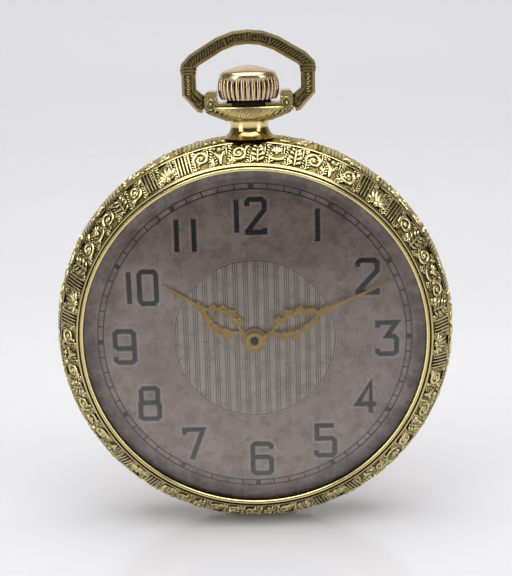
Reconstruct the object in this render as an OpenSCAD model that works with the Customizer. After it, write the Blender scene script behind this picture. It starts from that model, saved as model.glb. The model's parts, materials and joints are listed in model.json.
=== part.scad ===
// Open face pocket watch, 12 size, stem wound, two hands.
// Everything is drawn lying on its back about the case axis, with +z out of the dial
// and +y towards the crown, and place() then stands the watch on its rim.

/* [Case] */
// Largest radius of the case middle
case_r = 22.25; // [21.5:0.05:27]
// Radius of the opening in the bezel
bezel_opening_r = 18.75; // [18:0.05:18.9]
// Height of the bezel's front edge above the dial
bezel_front = 1.3; // [1.2:0.05:1.6]
// Height of the crystal's dome above the bezel's front edge
crystal_rise = 1.5; // [1.3:0.05:2.4]
// Thickness of the crystal
crystal_t = 0.4; // [0.3:0.05:0.45]
// Thickness of the case walls
case_wall = 0.7; // [0.5:0.05:0.9]
// Depth of the outside of the back below the dial
back_depth = 7.0; // [6.9:0.05:8.4]

/* [Pendant, bow and crown] */
// Radius of the crown
crown_r = 3.25; // [2.8:0.05:3.5]
// Height of the crown
crown_h = 3.65; // [3.2:0.05:3.9]
// Flutes around the crown
crown_flutes = 36; // [24:1:40]
// Radius of the neck at its waist
neck_r = 2.05; // [1.9:0.05:2.3]
// Half width of the collar that carries the bow
collar_x = 4.7; // [4.5:0.05:5]
// Half width of the bow
bow_x = 7.15; // [7:0.05:8.5]
// Height of the bow above its pivots
bow_h = 7.75; // [7.6:0.05:9.5]
// Width of the bow's bar
bow_w = 1.55; // [1.2:0.05:1.7]
// Thickness of the bow from front to back
bow_t = 2.2; // [1.6:0.05:2.4]
// Radius of the bow's pivot pins
bow_pin_r = 0.5; // [0.4:0.05:0.6]
// How far the crown pulls out to set the hands
pull = 0.8; // [0.6:0.05:0.9]

/* [Dial and hands] */
// Radius of the dial
dial_r = 19.3; // [19:0.05:19.4]
// Thickness of the dial
dial_t = 0.45; // [0.35:0.05:0.45]
// Length of the minute hand
minute_len = 16.7; // [14:0.1:17.5]
// Length of the hour hand
hour_len = 11.5; // [9:0.1:12.5]
// Where the minute hand points, in degrees clockwise from twelve
minute_at = 66.8; // [0:0.1:360]
// Where the hour hand points, in degrees clockwise from twelve
hour_at = 303.4; // [0:0.1:360]

/* [Movement] */
// Radius of the movement
plate_r = 19.4; // [19.4:0.05:19.6]
// Thickness of the main plate
plate_t = 1.7; // [1.6:0.05:1.9]
// Gap between the plate and the bridges
train_gap = 2.0; // [2:0.05:2.3]
// Thickness of the bridges
bridge_t = 0.9; // [0.8:0.05:1]
// Radius of the pivots
pivot_r = 0.15; // [0.12:0.01:0.18]
// Clearance around every turning pivot
run_gap = 0.03; // [0.02:0.01:0.05]
// Radius of the balance over its screws
balance_r = 5.5; // [4.5:0.1:5.6]
// Radius of the jewels
jewel_r = 0.75; // [0.6:0.05:0.85]

/* [Hidden] */
$fn = 96;

// Levels, measured from the face of the dial
z_front = bezel_front + crystal_rise;
z_back = -back_depth;
plate_top = -dial_t - 0.03;
plate_low = plate_top - plate_t;
bridge_top = plate_low - train_gap;
bridge_low = bridge_top - bridge_t;
crystal_low = bezel_front - 0.5;
cannon_r = 0.42;
center_post_r = 0.2;
hour_pipe_r = 0.9;
hour_z = 0.25;
minute_z = 0.57;
hand_t = 0.16;
join_z = -1.3;
snap_z = -4.3;
widest_z = -3.2;
seam = 0.03;
movement_bore = plate_r + 0.1;
inner_back = z_back + case_wall;

// Stem and pendant
stem_z = widest_z;
stem_r = 0.6;
clutch_r = 1.1;
pivot_y = case_r + 3.25;
collar_top = pivot_y + 1.4;
collar_low = pivot_y - 1.7;
collar_half = 1.6;
crown_low = pivot_y + 0.45;
ear_inner = crown_r + 0.2;
sleeve_r = 1.35;
pendant_bore = sleeve_r + 0.05;

// Wheel train: teeth, modules and centres
barrel_teeth = 80;
center_leaves = 10;
barrel_mod = 0.2;
center_teeth = 80;
third_leaves = 10;
center_mod = 0.15;
third_teeth = 75;
fourth_leaves = 10;
third_mod = 0.13;
fourth_teeth = 70;
escape_leaves = 7;
fourth_mod = 0.12;
ratchet_teeth = 46;
crown_wheel_teeth = 34;
wind_mod = 0.2;
motion_mod = 0.13;
setting_teeth = 32;
second_teeth = 24;
set_angle = 97.6;
pinion_leaves = 16;
pinion_mod = 0.165;
cannon_leaves = 12;
minute_teeth = 36;
minute_leaves = 10;
hour_teeth = 40;
hour_mod = motion_mod * (cannon_leaves + minute_teeth) / (minute_leaves + hour_teeth);
escape_r = 2.6;

function polar(r, a) = [r * cos(a), r * sin(a)];
function pair(mod, a, b) = mod * (a + b) / 2;
barrel_at = polar(pair(barrel_mod, barrel_teeth, center_leaves), 50);
wind_reach = pair(wind_mod, ratchet_teeth, crown_wheel_teeth);
crown_wheel_at = [0, barrel_at[1] + sqrt(pow(wind_reach, 2) - pow(barrel_at[0], 2))];
third_at = polar(pair(center_mod, center_teeth, third_leaves), 195);
fourth_at = third_at + polar(pair(third_mod, third_teeth, fourth_leaves), 275);
escape_at = fourth_at + polar(pair(fourth_mod, fourth_teeth, escape_leaves), 320);
balance_at = [7.2, -9.9];
to_balance = atan2(balance_at[1] - escape_at[1], balance_at[0] - escape_at[0]);
pallet_at = escape_at + polar(escape_r + 0.65, to_balance);
minute_wheel_at = polar(pair(motion_mod, cannon_leaves, minute_teeth), 70);
setting_wheel_at = minute_wheel_at + polar(pair(motion_mod, minute_teeth, setting_teeth), set_angle);
second_setting_at = setting_wheel_at + polar(pair(motion_mod, setting_teeth, second_teeth), set_angle);
lever_post = [4.9, 16.2];
yoke_post = [-4.3, 12.6];
click_post = barrel_at + polar(7.1, -14);
ring_r = 19.15;
arbor_r = 0.6;
dial_feet = [30, 150, 270];
foot_at_r = 16.6;
screw_at_r = 18.35;
case_screw_r = 18.3;
post_r = 0.35;
lever_post_r = 0.4;
case_screw_at = [-10, 192];
bridge_screw_at = [22, 70, 128, 178, 250, -34];

// Layers of the train, each the lower face of a wheel
center_z = bridge_top + 0.2;
third_z = center_z + 0.4;
fourth_z = third_z + 0.4;
escape_z = fourth_z + 0.42;
barrel_z = plate_low - 1.35;
motion_z = plate_top - 0.9;
second_z = plate_low + 0.25;
balance_z = bridge_top + 0.6;
roller_z = escape_z - 0.55;
wheel_t = 0.18;

// Stands the watch up with the middle of its back at the origin: dial to -Y, crown to +Z.
module place() {
  translate([0, z_back, 0]) rotate([90, 0, 0]) children();
}

// A disc from one level to another.
module disc(r, low, high) {
  translate([0, 0, low]) cylinder(r = r, h = high - low);
}

module along_stem(from) {
  translate([0, from, stem_z]) rotate([-90, 0, 0]) children();
}

module at(p) {
  translate([p[0], p[1], 0]) children();
}

// One gear tooth as four points about the x axis.
function tooth(n, mod, i, k) =
  let (a = 360 / n, pr = n * mod / 2, tip = pr + 0.9 * mod, root = pr - 1.15 * mod)
  [polar(root, a * (i - 0.27) + k), polar(pr, a * (i - 0.21) + k), polar(tip, a * (i - 0.09) + k),
   polar(tip, a * (i + 0.09) + k), polar(pr, a * (i + 0.21) + k), polar(root, a * (i + 0.27) + k)];

module gear(n, mod, low, high, turn = 0) {
  points = [for (i = [0 : n - 1]) each tooth(n, mod, i, turn)];
  translate([0, 0, low]) linear_extrude(high - low) polygon(points);
}

// Turns a gear's mate so that a tooth meets a gap: the driver has a tooth at driver_turn.
function mesh_turn(toward, n_driver, driver_turn, n_mate) =
  let (phase = (toward - driver_turn) * n_driver / 360)
  toward + 180 + (0.5 + phase) * 360 / n_mate;

// Cuts the spokes' gaps out of a wheel.
module gaps(count, inner, outer, bar, turn = 0) {
  for (i = [0 : count - 1]) rotate(360 / count * i + turn) difference() {
    intersection() {
      difference() {
        circle(outer);
        circle(inner);
      }
      polygon([[0, 0], polar(3 * outer, -180 / count), [6 * outer, 0], polar(3 * outer, 180 / count)]);
    }
    for (s = [-1, 1]) rotate(s * 180 / count) translate([0, -bar / 2]) square([outer + 1, bar]);
  }
}

module spoked(n, mod, low, count, turn = 0) {
  difference() {
    gear(n, mod, low, low + wheel_t, turn);
    translate([0, 0, low - 0.5]) linear_extrude(wheel_t + 1)
      gaps(count, n * mod * 0.09 + 0.35, n * mod / 2 - 4.2 * mod, 0.42, 360 / count / 2);
  }
}

// An arbor between the plate and a bridge, with a thinner pivot at each end.
module arbor(r, low, high) {
  disc(r, low + 0.12, high - 0.12);
  disc(pivot_r, low - 0.55, high + 0.55);
}

/* Case */

module middle_profile() {
  polygon([[movement_bore, join_z - seam], [case_r - 0.65, join_z - seam],
           [case_r - 0.2, widest_z + 1], [case_r, widest_z], [case_r - 0.15, widest_z - 0.6],
           [case_r - 0.5, snap_z + seam], [movement_bore, snap_z + seam],
           [movement_bore, plate_low - 0.42], [ring_r, plate_low - 0.42],
           [ring_r, plate_low - 0.02], [movement_bore, plate_low - 0.02]]);
}

module case_middle() {
  color("goldenrod") difference() {
    rotate_extrude() middle_profile();
    along_stem(plate_r - 2.15) rotate(3) cylinder(r = stem_r + 0.17, h = case_r - plate_r + 5.15, $fn = 48);
  }
}

module bezel() {
  o = bezel_opening_r;
  color("gold") rotate_extrude() difference() {
    polygon([[o, bezel_front - 0.45], [o + 0.12, bezel_front - 0.1], [o + 0.4, bezel_front],
             [o + 0.75, bezel_front - 0.2], [o + 0.9, bezel_front - 0.55],
             [o + 1.05, bezel_front - 0.6], [case_r - 2, bezel_front - 0.8],
             [case_r - 1.35, 0.1], [case_r - 0.85, -0.5], [case_r - 0.65, join_z + seam],
             [movement_bore + 0.05, join_z + seam], [movement_bore + 0.05, 0.35], [o, 0.35]]);
    // The groove that the crystal snaps into
    translate([o - 0.5, crystal_low - 0.02]) square([0.75, 0.3]);
  }
}

module crystal() {
  $fn = 180;
  r = bezel_opening_r - 0.05;
  rise = z_front - crystal_low;
  big = (r * r + rise * rise) / (2 * rise);
  color([0.8, 0.9, 0.95, 0.4]) difference() {
    union() {
      intersection() {
        translate([0, 0, z_front - big]) sphere(big);
        disc(r, crystal_low, z_front + 1);
      }
      disc(r + 0.2, crystal_low, crystal_low + 0.25);
    }
    intersection() {
      translate([0, 0, z_front - big]) sphere(big - crystal_t);
      disc(r - 0.9, crystal_low - 1, z_front + 1);
    }
  }
}

module back_cover() {
  color("gold") rotate_extrude() difference() {
    polygon([[0, z_back], [case_r - 7.25, z_back], [case_r - 4.75, z_back + 0.25],
             [case_r - 2.65, z_back + 0.85], [case_r - 1.35, z_back + 1.6],
             [case_r - 0.65, snap_z - seam], [0, snap_z - seam]]);
    polygon([[0, inner_back], [case_r - 7.25, inner_back], [case_r - 4.95, inner_back + 0.2],
             [case_r - 3.35, inner_back + 0.7], [movement_bore + 0.1, inner_back + 1.3],
             [movement_bore + 0.1, snap_z + 1], [0, snap_z + 1]]);
  }
}

module pendant() {
  color("gold") translate([0, 0, stem_z]) rotate([-90, 0, 0]) difference() {
    union() {
      // Neck, flared where it meets the case
      rotate_extrude() difference() {
        translate([0, case_r - 3]) square([2.85, collar_low - case_r + 3.2]);
        translate([neck_r + 1.75, case_r + 0.85]) circle(1.75);
      }
      // Collar with an ear at each end
      intersection() {
        translate([-collar_x, -collar_half, collar_low]) cube([2 * collar_x, 2 * collar_half, 4]);
        rotate([90, 0, 0]) translate([0, 0, -3]) linear_extrude(6)
          polygon([[-2.4, collar_low], [2.4, collar_low], [collar_x - 0.25, pivot_y - 0.9],
                   [collar_x, pivot_y - 0.5], [collar_x, collar_top - 0.3],
                   [collar_x - 0.3, collar_top], [ear_inner, collar_top],
                   [ear_inner - 0.1, crown_low - 0.3], [0.1 - ear_inner, crown_low - 0.3],
                   [-ear_inner, collar_top], [0.3 - collar_x, collar_top],
                   [-collar_x, collar_top - 0.3], [-collar_x, pivot_y - 0.5],
                   [0.25 - collar_x, pivot_y - 0.9]]);
      }
    }
    translate([0, 0, case_r - 6]) cylinder(r = pendant_bore, h = 14);
    // Holes for the bow's pins
    translate([-collar_x - 1, 0, pivot_y]) rotate([0, 90, 0]) cylinder(r = bow_pin_r + run_gap, h = 1.75);
    translate([collar_x - 0.75, 0, pivot_y]) rotate([0, 90, 0]) cylinder(r = bow_pin_r + run_gap, h = 1.75);
    // Room for the crown above the collar
    translate([0, 0, crown_low - 0.3]) cylinder(r = ear_inner, h = 6);
    // Seat on the case middle
    rotate([90, 0, 0]) translate([0, 0, -20]) cylinder(r = case_r + seam, h = 40, $fn = 128);
  }
}

module bow() {
  gap = 0.12;
  end_x = collar_x + gap;
  color("darkkhaki") translate([0, pivot_y, stem_z]) {
    translate([0, 0, -bow_t / 2]) linear_extrude(bow_t) difference() {
      polygon([[end_x, -0.9], [bow_x, 1.1], [bow_x, bow_h - 3.55], [bow_x - 0.7, bow_h - 2.8],
               [3.4, bow_h - 0.9], [1.6, bow_h - 0.2], [0, bow_h], [-1.6, bow_h - 0.2],
               [-3.4, bow_h - 0.9], [0.7 - bow_x, bow_h - 2.8], [-bow_x, bow_h - 3.55],
               [-bow_x, 1.1], [-end_x, -0.9]]);
      polygon([[end_x, -2], [end_x, 0.9], [bow_x - bow_w, 1.5],
               [bow_x - bow_w, bow_h - 4.1], [bow_x - bow_w - 0.5, bow_h - 3.7],
               [2.7, bow_h - bow_w - 0.8], [1.2, bow_h - bow_w - 0.15], [0, bow_h - bow_w],
               [-1.2, bow_h - bow_w - 0.15], [-2.7, bow_h - bow_w - 0.8],
               [bow_w + 0.5 - bow_x, bow_h - 3.7], [bow_w - bow_x, bow_h - 4.1],
               [bow_w - bow_x, 1.5], [-end_x, 0.9], [-end_x, -2]]);
    }
    for (s = [-1, 1]) translate([s > 0 ? collar_x - 0.6 : -collar_x - 0.8, 0, 0])
      rotate([0, 90, 0]) cylinder(r = bow_pin_r, h = 1.4);
  }
}

module crown() {
  color("khaki") translate([0, crown_low, stem_z]) rotate([-90, 0, 0]) difference() {
    rotate_extrude() polygon([[0, 0], [crown_r - 0.3, 0], [crown_r, 0.3], [crown_r, crown_h - 0.9],
      [crown_r - 0.25, crown_h - 0.7], [crown_r - 0.8, crown_h - 0.5], [1.5, crown_h - 0.12],
      [0, crown_h]]);
    for (i = [0 : crown_flutes - 1]) rotate(360 / crown_flutes * i)
      translate([crown_r + 0.08, 0, -1]) cylinder(r = 0.2, h = crown_h + 0.2, $fn = 16);
    // The skirt hides the stem sleeve
    translate([0, 0, -1]) cylinder(r = sleeve_r + 0.35, h = 2.2);
    translate([0, 0, -1]) cylinder(r = stem_r, h = 3.2);
  }
}

module winding_stem() {
  color("silver") along_stem(0) difference() {
    union() {
      translate([0, 0, 12.0]) cylinder(r = 0.3, h = 1);
      translate([-0.36, -0.36, 12.9]) cube([0.72, 0.72, 2.05]);
      translate([0, 0, 14.9]) cylinder(r = 0.5, h = 1.2);
      translate([0, 0, 16]) cylinder(r = stem_r, h = crown_low + 2.2 - 16);
    }
    // Groove for the setting lever's pin
    difference() {
      translate([0, 0, 17.7]) cylinder(r = 1, h = 0.6);
      translate([0, 0, 17.6]) cylinder(r = 0.35, h = 0.8);
    }
  }
}

module stem_sleeve() {
  low = case_r + 0.1;
  color("silver") along_stem(0) difference() {
    translate([0, 0, low]) cylinder(r = sleeve_r, h = crown_low + 0.9 - low);
    translate([0, 0, low - 1]) cylinder(r = stem_r + 0.05, h = 12);
    // Slits that let the sleeve spring
    for (a = [0, 90]) rotate(a) translate([-3, -0.12, low - 1]) cube([6, 0.24, 2.5]);
  }
}

/* Dial and hands */

module dial() {
  color("rosybrown") {
    difference() {
      disc(dial_r, -dial_t, 0);
      disc(1.35, -5, 1);
    }
    // Feet
    for (a = dial_feet) at(polar(foot_at_r, a)) disc(0.4, -dial_t - 1.2, -dial_t + 0.05);
  }
}

module scroll_work(length, reach) {
  // Crossed C scrolls, a leaf pair and a bud, all joined to the hand's spine
  for (s = [-1, 1]) {
    translate([reach * 0.30, s * 0.55]) difference() {
      circle(0.5);
      circle(0.26);
    }
    translate([reach * 0.47, s * 0.95]) difference() {
      circle(0.62);
      circle(0.34);
    }
    translate([reach * 0.64, s * 0.8]) difference() {
      circle(0.5);
      circle(0.25);
    }
    translate([reach * 0.93, s * 0.32]) circle(0.32);
    hull() {
      translate([reach * 0.5, s * 0.45]) circle(0.16);
      translate([reach * 0.78, s * 0.2]) circle(0.16);
    }
  }
  translate([reach * 0.12, -0.16]) square([reach * 0.9, 0.32]);
  polygon([[reach * 0.9, -0.28], [reach * 1.1, -0.2], [length, -0.04], [length, 0.04],
           [reach * 1.1, 0.2], [reach * 0.9, 0.28]]);
}

module hand(length, reach, bore, boss, low, angle) {
  rotate(90 - angle) difference() {
    union() {
      translate([0, 0, low]) linear_extrude(hand_t) scroll_work(length, reach);
      disc(boss, low - 0.08, low + 0.2);
    }
    disc(bore, low - 1, low + 1);
  }
}

module minute_hand() {
  color("gold") hand(minute_len, 7.0, cannon_r, 0.85, minute_z, minute_at);
}

module hour_hand() {
  color("gold") hand(hour_len, 5.6, hour_pipe_r, 1.3, hour_z, hour_at);
}

/* Motion work */

minute_turn = mesh_turn(70, cannon_leaves, 0, minute_teeth);
setting_turn = mesh_turn(set_angle, minute_teeth, minute_turn, setting_teeth);

module cannon_pinion() {
  color("silver") difference() {
    union() {
      gear(cannon_leaves, motion_mod, motion_z, motion_z + 0.42);
      disc(cannon_r, motion_z, minute_z + 0.3);
    }
    disc(center_post_r, motion_z - 1, minute_z + 0.15);
  }
}

module hour_wheel() {
  color("gold") difference() {
    union() {
      gear(hour_teeth, hour_mod, motion_z + 0.5, motion_z + 0.7);
      disc(hour_pipe_r, motion_z + 0.5, hour_z + 0.2);
    }
    disc(cannon_r + run_gap, motion_z - 1, 3);
  }
}

module minute_wheel() {
  color("gold") at(minute_wheel_at) difference() {
    union() {
      gear(minute_teeth, motion_mod, motion_z + 0.08, motion_z + 0.36, minute_turn);
      gear(minute_leaves, hour_mod, motion_z + 0.3, motion_z + 0.72,
           mesh_turn(70, hour_teeth, 0, minute_leaves));
    }
    disc(0.3 + run_gap, motion_z - 1, 3);
  }
}

/* Plates and bridges */

module hole(p, r) {
  at(p) disc(r, -12, 2);
}

module main_plate() {
  low_jewels = [third_at, fourth_at, escape_at, pallet_at, balance_at];
  well = motion_z - 0.05;
  color("darkgray") union() {
    difference() {
      disc(plate_r, plate_low, plate_top);
      // Wells for the motion work and the setting wheels
      disc(hour_teeth * hour_mod / 2 + 0.5, well, 3);
      at(minute_wheel_at) disc(minute_teeth * motion_mod / 2 + 0.4, well, 3);
      at(setting_wheel_at) disc(setting_teeth * motion_mod / 2 + 0.4, well, 3);
      at(second_setting_at) disc(second_teeth * motion_mod / 2 + 0.4, second_z - 0.05, 3);
      // Slot for the winding work
      translate([-1.8, 12.4, -8]) cube([3.6, 9, 10]);
      // Wells for the setting lever and the yoke
      translate([1.5, 14.6, well + 0.3]) cube([5, 4.6, 4]);
      translate([-5.6, 11.4, well + 0.3]) cube([4, 4.2, 4]);
      hole([0, 0], 0.6);
      hole(barrel_at, arbor_r + run_gap);
      for (p = low_jewels) hole(p, jewel_r);
      for (a = dial_feet) hole(polar(foot_at_r, a), 0.42);
      for (a = dial_feet) rotate(a) translate([16.7, 0, plate_top - 0.9]) rotate([0, 90, 0])
        cylinder(r = 0.35, h = 4);
      for (a = case_screw_at) hole(polar(case_screw_r, a), 0.5);
    }
    // Posts that the loose wheels and levers turn on
    at(minute_wheel_at) disc(0.3, well - 0.1, motion_z + 0.74);
    at(setting_wheel_at) disc(post_r, well - 0.1, motion_z + 0.5);
    at(second_setting_at) disc(post_r, second_z - 0.1, motion_z + 0.5);
    at(lever_post) disc(lever_post_r, well, motion_z + 0.7);
    at(yoke_post) disc(lever_post_r, well, motion_z + 0.7);
  }
}

// A raised rim between two angles, which a bridge stands on.
module foot(from, to, inner = 17.75) {
  translate([0, 0, bridge_top - 0.01]) intersection() {
    difference() {
      cylinder(r = 19, h = train_gap + 0.01);
      translate([0, 0, -1]) cylinder(r = inner, h = 5);
    }
    linear_extrude(5) polygon([[0, 0], polar(40, from), polar(40, (from + to) / 2), polar(40, to)]);
  }
}

module bridge_plate() {
  translate([0, 0, bridge_low]) linear_extrude(bridge_t) intersection() {
    circle(19);
    children();
  }
}

module barrel_bridge() {
  color("silver") difference() {
    union() {
      bridge_plate() polygon([[-20, 3.1], [-3, 3.1], [0, 1.9], [20, 1.9], [20, 20], [-20, 20]]);
      foot(14, 76);
      foot(104, 156);
    }
    // Recess for the crown wheel, open to the winding pinion above it
    at(crown_wheel_at) disc(crown_wheel_teeth * wind_mod / 2 + 0.45, -12, bridge_low + 0.35);
    translate([-1.75, 12.3, bridge_low + 0.2]) cube([3.5, 4, 2]);
    hole(barrel_at, arbor_r + run_gap);
    for (a = [22, 70, 128]) hole(polar(screw_at_r, a), 0.45);
    hole(click_post, 0.3);
  }
}

module train_bridge() {
  color("silver") difference() {
    union() {
      bridge_plate() difference() {
        polygon([[-20, 2.9], [-3.1, 2.9], [-0.1, 1.7], [2.4, 1.7], [2.4, -4], [-0.6, -8],
                 [-0.9, -20], [-20, -20]]);
        translate(balance_at) circle(balance_r + 0.9);
      }
      foot(172, 186);
      foot(200, 256);
    }
    hole([0, 0], jewel_r);
    for (p = [third_at, fourth_at, escape_at]) hole(p, jewel_r);
    for (a = [178, 250]) hole(polar(screw_at_r, a), 0.45);
    // Openings for the driver of the case screw
    at(polar(case_screw_r, case_screw_at[1])) disc(1.3, -12, plate_low - 0.01);
  }
}

module balance_cock() {
  color("silver") difference() {
    union() {
      bridge_plate() union() {
        translate(balance_at) circle(1.9);
        polygon([[6.2, -8.2], balance_at + [-0.4, -1.8], balance_at + [1.6, -1.6], polar(21, -50),
                 polar(24, -36), polar(21, -22)]);
      }
      difference() {
        foot(-50, -22, 16.2);
        at(balance_at) disc(balance_r + 0.35, -12, 2);
      }
    }
    hole(balance_at, jewel_r);
    hole(polar(screw_at_r, -34), 0.45);
  }
}

module pallet_bridge() {
  side = to_balance + 90;
  reach = 3;
  color("silver") difference() {
    union() {
      at(pallet_at) rotate(side) translate([-reach, -0.65, escape_z - 0.5]) cube([2 * reach, 1.3, 0.3]);
      for (s = [-1, 1]) at(pallet_at + polar(s * reach, side)) disc(0.8, escape_z - 0.5, plate_low);
    }
    hole(pallet_at, 0.5);
  }
}

/* Mainspring barrel */

module barrel() {
  turn = mesh_turn(50, center_leaves, 0, barrel_teeth);
  color("gold") at(barrel_at) difference() {
    union() {
      gear(barrel_teeth, barrel_mod, plate_low - 0.55, plate_low - 0.15, turn);
      disc(7.6, barrel_z, plate_low - 0.15);
    }
    disc(7.2, barrel_z - 1, plate_low - 0.4);
    disc(0.75 + run_gap, -12, 2);
  }
}

module barrel_cover() {
  color("gold") at(barrel_at) difference() {
    disc(7.18, barrel_z, barrel_z + 0.2);
    disc(0.75 + run_gap, -12, 2);
  }
}

module barrel_arbor() {
  color("silver") at(barrel_at) difference() {
    union() {
      disc(0.75, bridge_top + 0.05, plate_low - 0.05);
      disc(1.2, barrel_z + 0.28, plate_low - 0.48);
      disc(arbor_r, bridge_low - 0.02, plate_low + 1.0);
      translate([-0.42, -0.42, bridge_low - 0.32]) cube([0.84, 0.84, 0.4]);
    }
    disc(0.3, bridge_low - 1, bridge_low + 0.8);
  }
}

// A flat spiral ribbon: its outline goes out along one edge and back along the other.
function spiral(r0, r1, turns, w, steps) = [
  for (i = [0 : steps]) polar(r0 + (r1 - r0) * i / steps + w / 2, 360 * turns * i / steps),
  for (i = [steps : -1 : 0]) polar(r0 + (r1 - r0) * i / steps - w / 2, 360 * turns * i / steps)];

module mainspring() {
  color("slategray") at(barrel_at) translate([0, 0, barrel_z + 0.26])
    linear_extrude(plate_low - 0.46 - barrel_z - 0.26) polygon(spiral(1.35, 7.05, 14, 0.16, 336));
}

module ratchet_wheel() {
  color("silver") at(barrel_at) difference() {
    gear(ratchet_teeth, wind_mod, bridge_low - 0.36, bridge_low - 0.04);
    translate([-0.43, -0.43, -12]) cube([0.86, 0.86, 20]);
  }
}

module ratchet_screw() {
  color("slategray") at(barrel_at) difference() {
    union() {
      disc(1.3, bridge_low - 0.55, bridge_low - 0.37);
      disc(0.3, bridge_low - 0.4, bridge_low + 0.7);
    }
    translate([-2, -0.12, bridge_low - 0.65]) cube([4, 0.24, 0.18]);
  }
}

module crown_wheel() {
  toward = atan2(crown_wheel_at[1] - barrel_at[1], crown_wheel_at[0] - barrel_at[0]);
  color("silver") at(crown_wheel_at) difference() {
    union() {
      gear(crown_wheel_teeth, wind_mod, bridge_low - 0.36, bridge_low - 0.04,
           mesh_turn(toward, ratchet_teeth, 0, crown_wheel_teeth));
      // Rim with the teeth that face the winding pinion
      difference() {
        disc(3.3, bridge_low - 0.1, bridge_low + 0.3);
        for (i = [0 : crown_wheel_teeth - 1]) rotate(360 / crown_wheel_teeth * i)
          translate([2.4, -0.13, bridge_low + 0.12]) cube([3, 0.26, 1]);
      }
    }
    disc(1.7 + run_gap, -12, 2);
  }
}

module crown_wheel_core() {
  color("silver") at(crown_wheel_at) difference() {
    union() {
      disc(1.7, bridge_low - 0.4, bridge_low + 0.35);
      disc(2.15, bridge_low - 0.55, bridge_low - 0.38);
    }
    translate([-3, -0.14, bridge_low - 0.7]) cube([6, 0.28, 0.27]);
  }
}

module click() {
  nose = barrel_at + polar(ratchet_teeth * wind_mod / 2 + 0.27, 10);
  color("silver") difference() {
    translate([0, 0, bridge_low - 0.36]) linear_extrude(0.32) union() {
      translate(click_post) circle(0.85);
      polygon([click_post + [0.6, 0.6], nose + [0.5, 0.2], nose + [0.25, 0], click_post + [-0.6, -0.5]]);
    }
    hole(click_post, 0.3 + run_gap);
  }
}

module click_screw() {
  screw(click_post, bridge_low - 0.62, 0.7, 0.3, bridge_low + 0.7);
}

module click_spring() {
  color("lightsteelblue") translate([0, 0, bridge_low - 0.3]) linear_extrude(0.3) intersection() {
    translate(click_post) difference() {
      circle(1.35);
      circle(1.1);
    }
    translate(click_post) polygon([[0, 0], [-4, -3], [4, -4], [4, 1]]);
  }
}

/* Keyless work */

module winding_pinion() {
  points = [for (i = [0 : pinion_leaves - 1]) each tooth(pinion_leaves, pinion_mod, i, 0)];
  color("silver") along_stem(14.95) difference() {
    union() {
      linear_extrude(0.75) polygon(points);
      cylinder(r = 0.9, h = 1);
    }
    translate([0, 0, -1]) cylinder(r = 0.5 + run_gap, h = 5);
  }
}

module clutch() {
  // Tapered foot with setting teeth, a groove for the yoke and a flange under the pinion
  color("silver") along_stem(13.55) difference() {
    union() {
      difference() {
        cylinder(r1 = 0.7, r2 = clutch_r, h = 0.25);
        for (i = [0 : 7]) rotate(45 * i) translate([0.6, -0.1, -1]) cube([2, 0.2, 1.1]);
      }
      cylinder(r = 0.7, h = 1.15);
      translate([0, 0, 0.7]) cylinder(r = clutch_r, h = 0.5);
    }
    translate([-0.39, -0.39, -1]) cube([0.78, 0.78, 5]);
  }
}

module setting_lever() {
  color("silver") difference() {
    union() {
      translate([0, 0, motion_z + 0.35]) linear_extrude(0.3) union() {
        translate(lever_post) circle(1.1);
        hull() {
          translate(lever_post) circle(0.7);
          translate([0.5, 17.95]) circle(0.4);
        }
      }
      // Pin that rides in the stem's groove
      translate([0.2, 18, stem_z + 0.42]) cylinder(r = 0.2, h = motion_z + 0.4 - stem_z - 0.42);
    }
    hole(lever_post, lever_post_r + run_gap);
  }
}

module yoke() {
  color("silver") difference() {
    union() {
      translate([0, 0, motion_z + 0.35]) linear_extrude(0.3) union() {
        translate(yoke_post) circle(1.0);
        hull() {
          translate(yoke_post) circle(0.6);
          translate([-0.8, 14.02]) circle(0.3);
        }
      }
      // Pin that rides in the clutch's groove
      translate([-0.75, 14.02, stem_z + 0.95]) cylinder(r = 0.15, h = motion_z + 0.4 - stem_z - 0.95);
    }
    hole(yoke_post, lever_post_r + run_gap);
  }
}

module setting_wheel() {
  color("silver") at(setting_wheel_at) difference() {
    gear(setting_teeth, motion_mod, motion_z + 0.08, motion_z + 0.36, setting_turn);
    disc(post_r + run_gap, -12, 2);
  }
}

module second_setting_wheel() {
  turn = mesh_turn(set_angle, setting_teeth, setting_turn, second_teeth);
  color("silver") at(second_setting_at) difference() {
    gear(second_teeth, motion_mod, second_z, motion_z + 0.36, turn);
    disc(post_r + run_gap, -12, 2);
  }
}

/* Going train */

module center_wheel() {
  turn = mesh_turn(50, center_leaves, 0, barrel_teeth);
  color("gold") {
    spoked(center_teeth, center_mod, center_z, 5);
    gear(center_leaves, barrel_mod, plate_low - 0.6, plate_low - 0.1);
    disc(0.55, center_z, plate_low + 0.2);
    disc(0.35, bridge_top + 0.05, plate_top - 0.9);
    disc(0.35, bridge_top - 0.6, bridge_top + 0.3);
    disc(center_post_r, plate_top - 1.1, minute_z + 0.1);
  }
}

module third_wheel() {
  color("gold") at(third_at) {
    spoked(third_teeth, third_mod, third_z, 4);
    gear(third_leaves, center_mod, center_z - 0.1, center_z + 0.3,
         mesh_turn(195, center_teeth, 0, third_leaves));
    arbor(0.3, bridge_top, plate_low);
  }
}

module fourth_wheel() {
  color("gold") at(fourth_at) {
    spoked(fourth_teeth, fourth_mod, fourth_z, 4);
    gear(fourth_leaves, third_mod, third_z - 0.05, third_z + 0.28,
         mesh_turn(275, third_teeth, 0, fourth_leaves));
    arbor(0.27, bridge_top, plate_low);
  }
}

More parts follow.
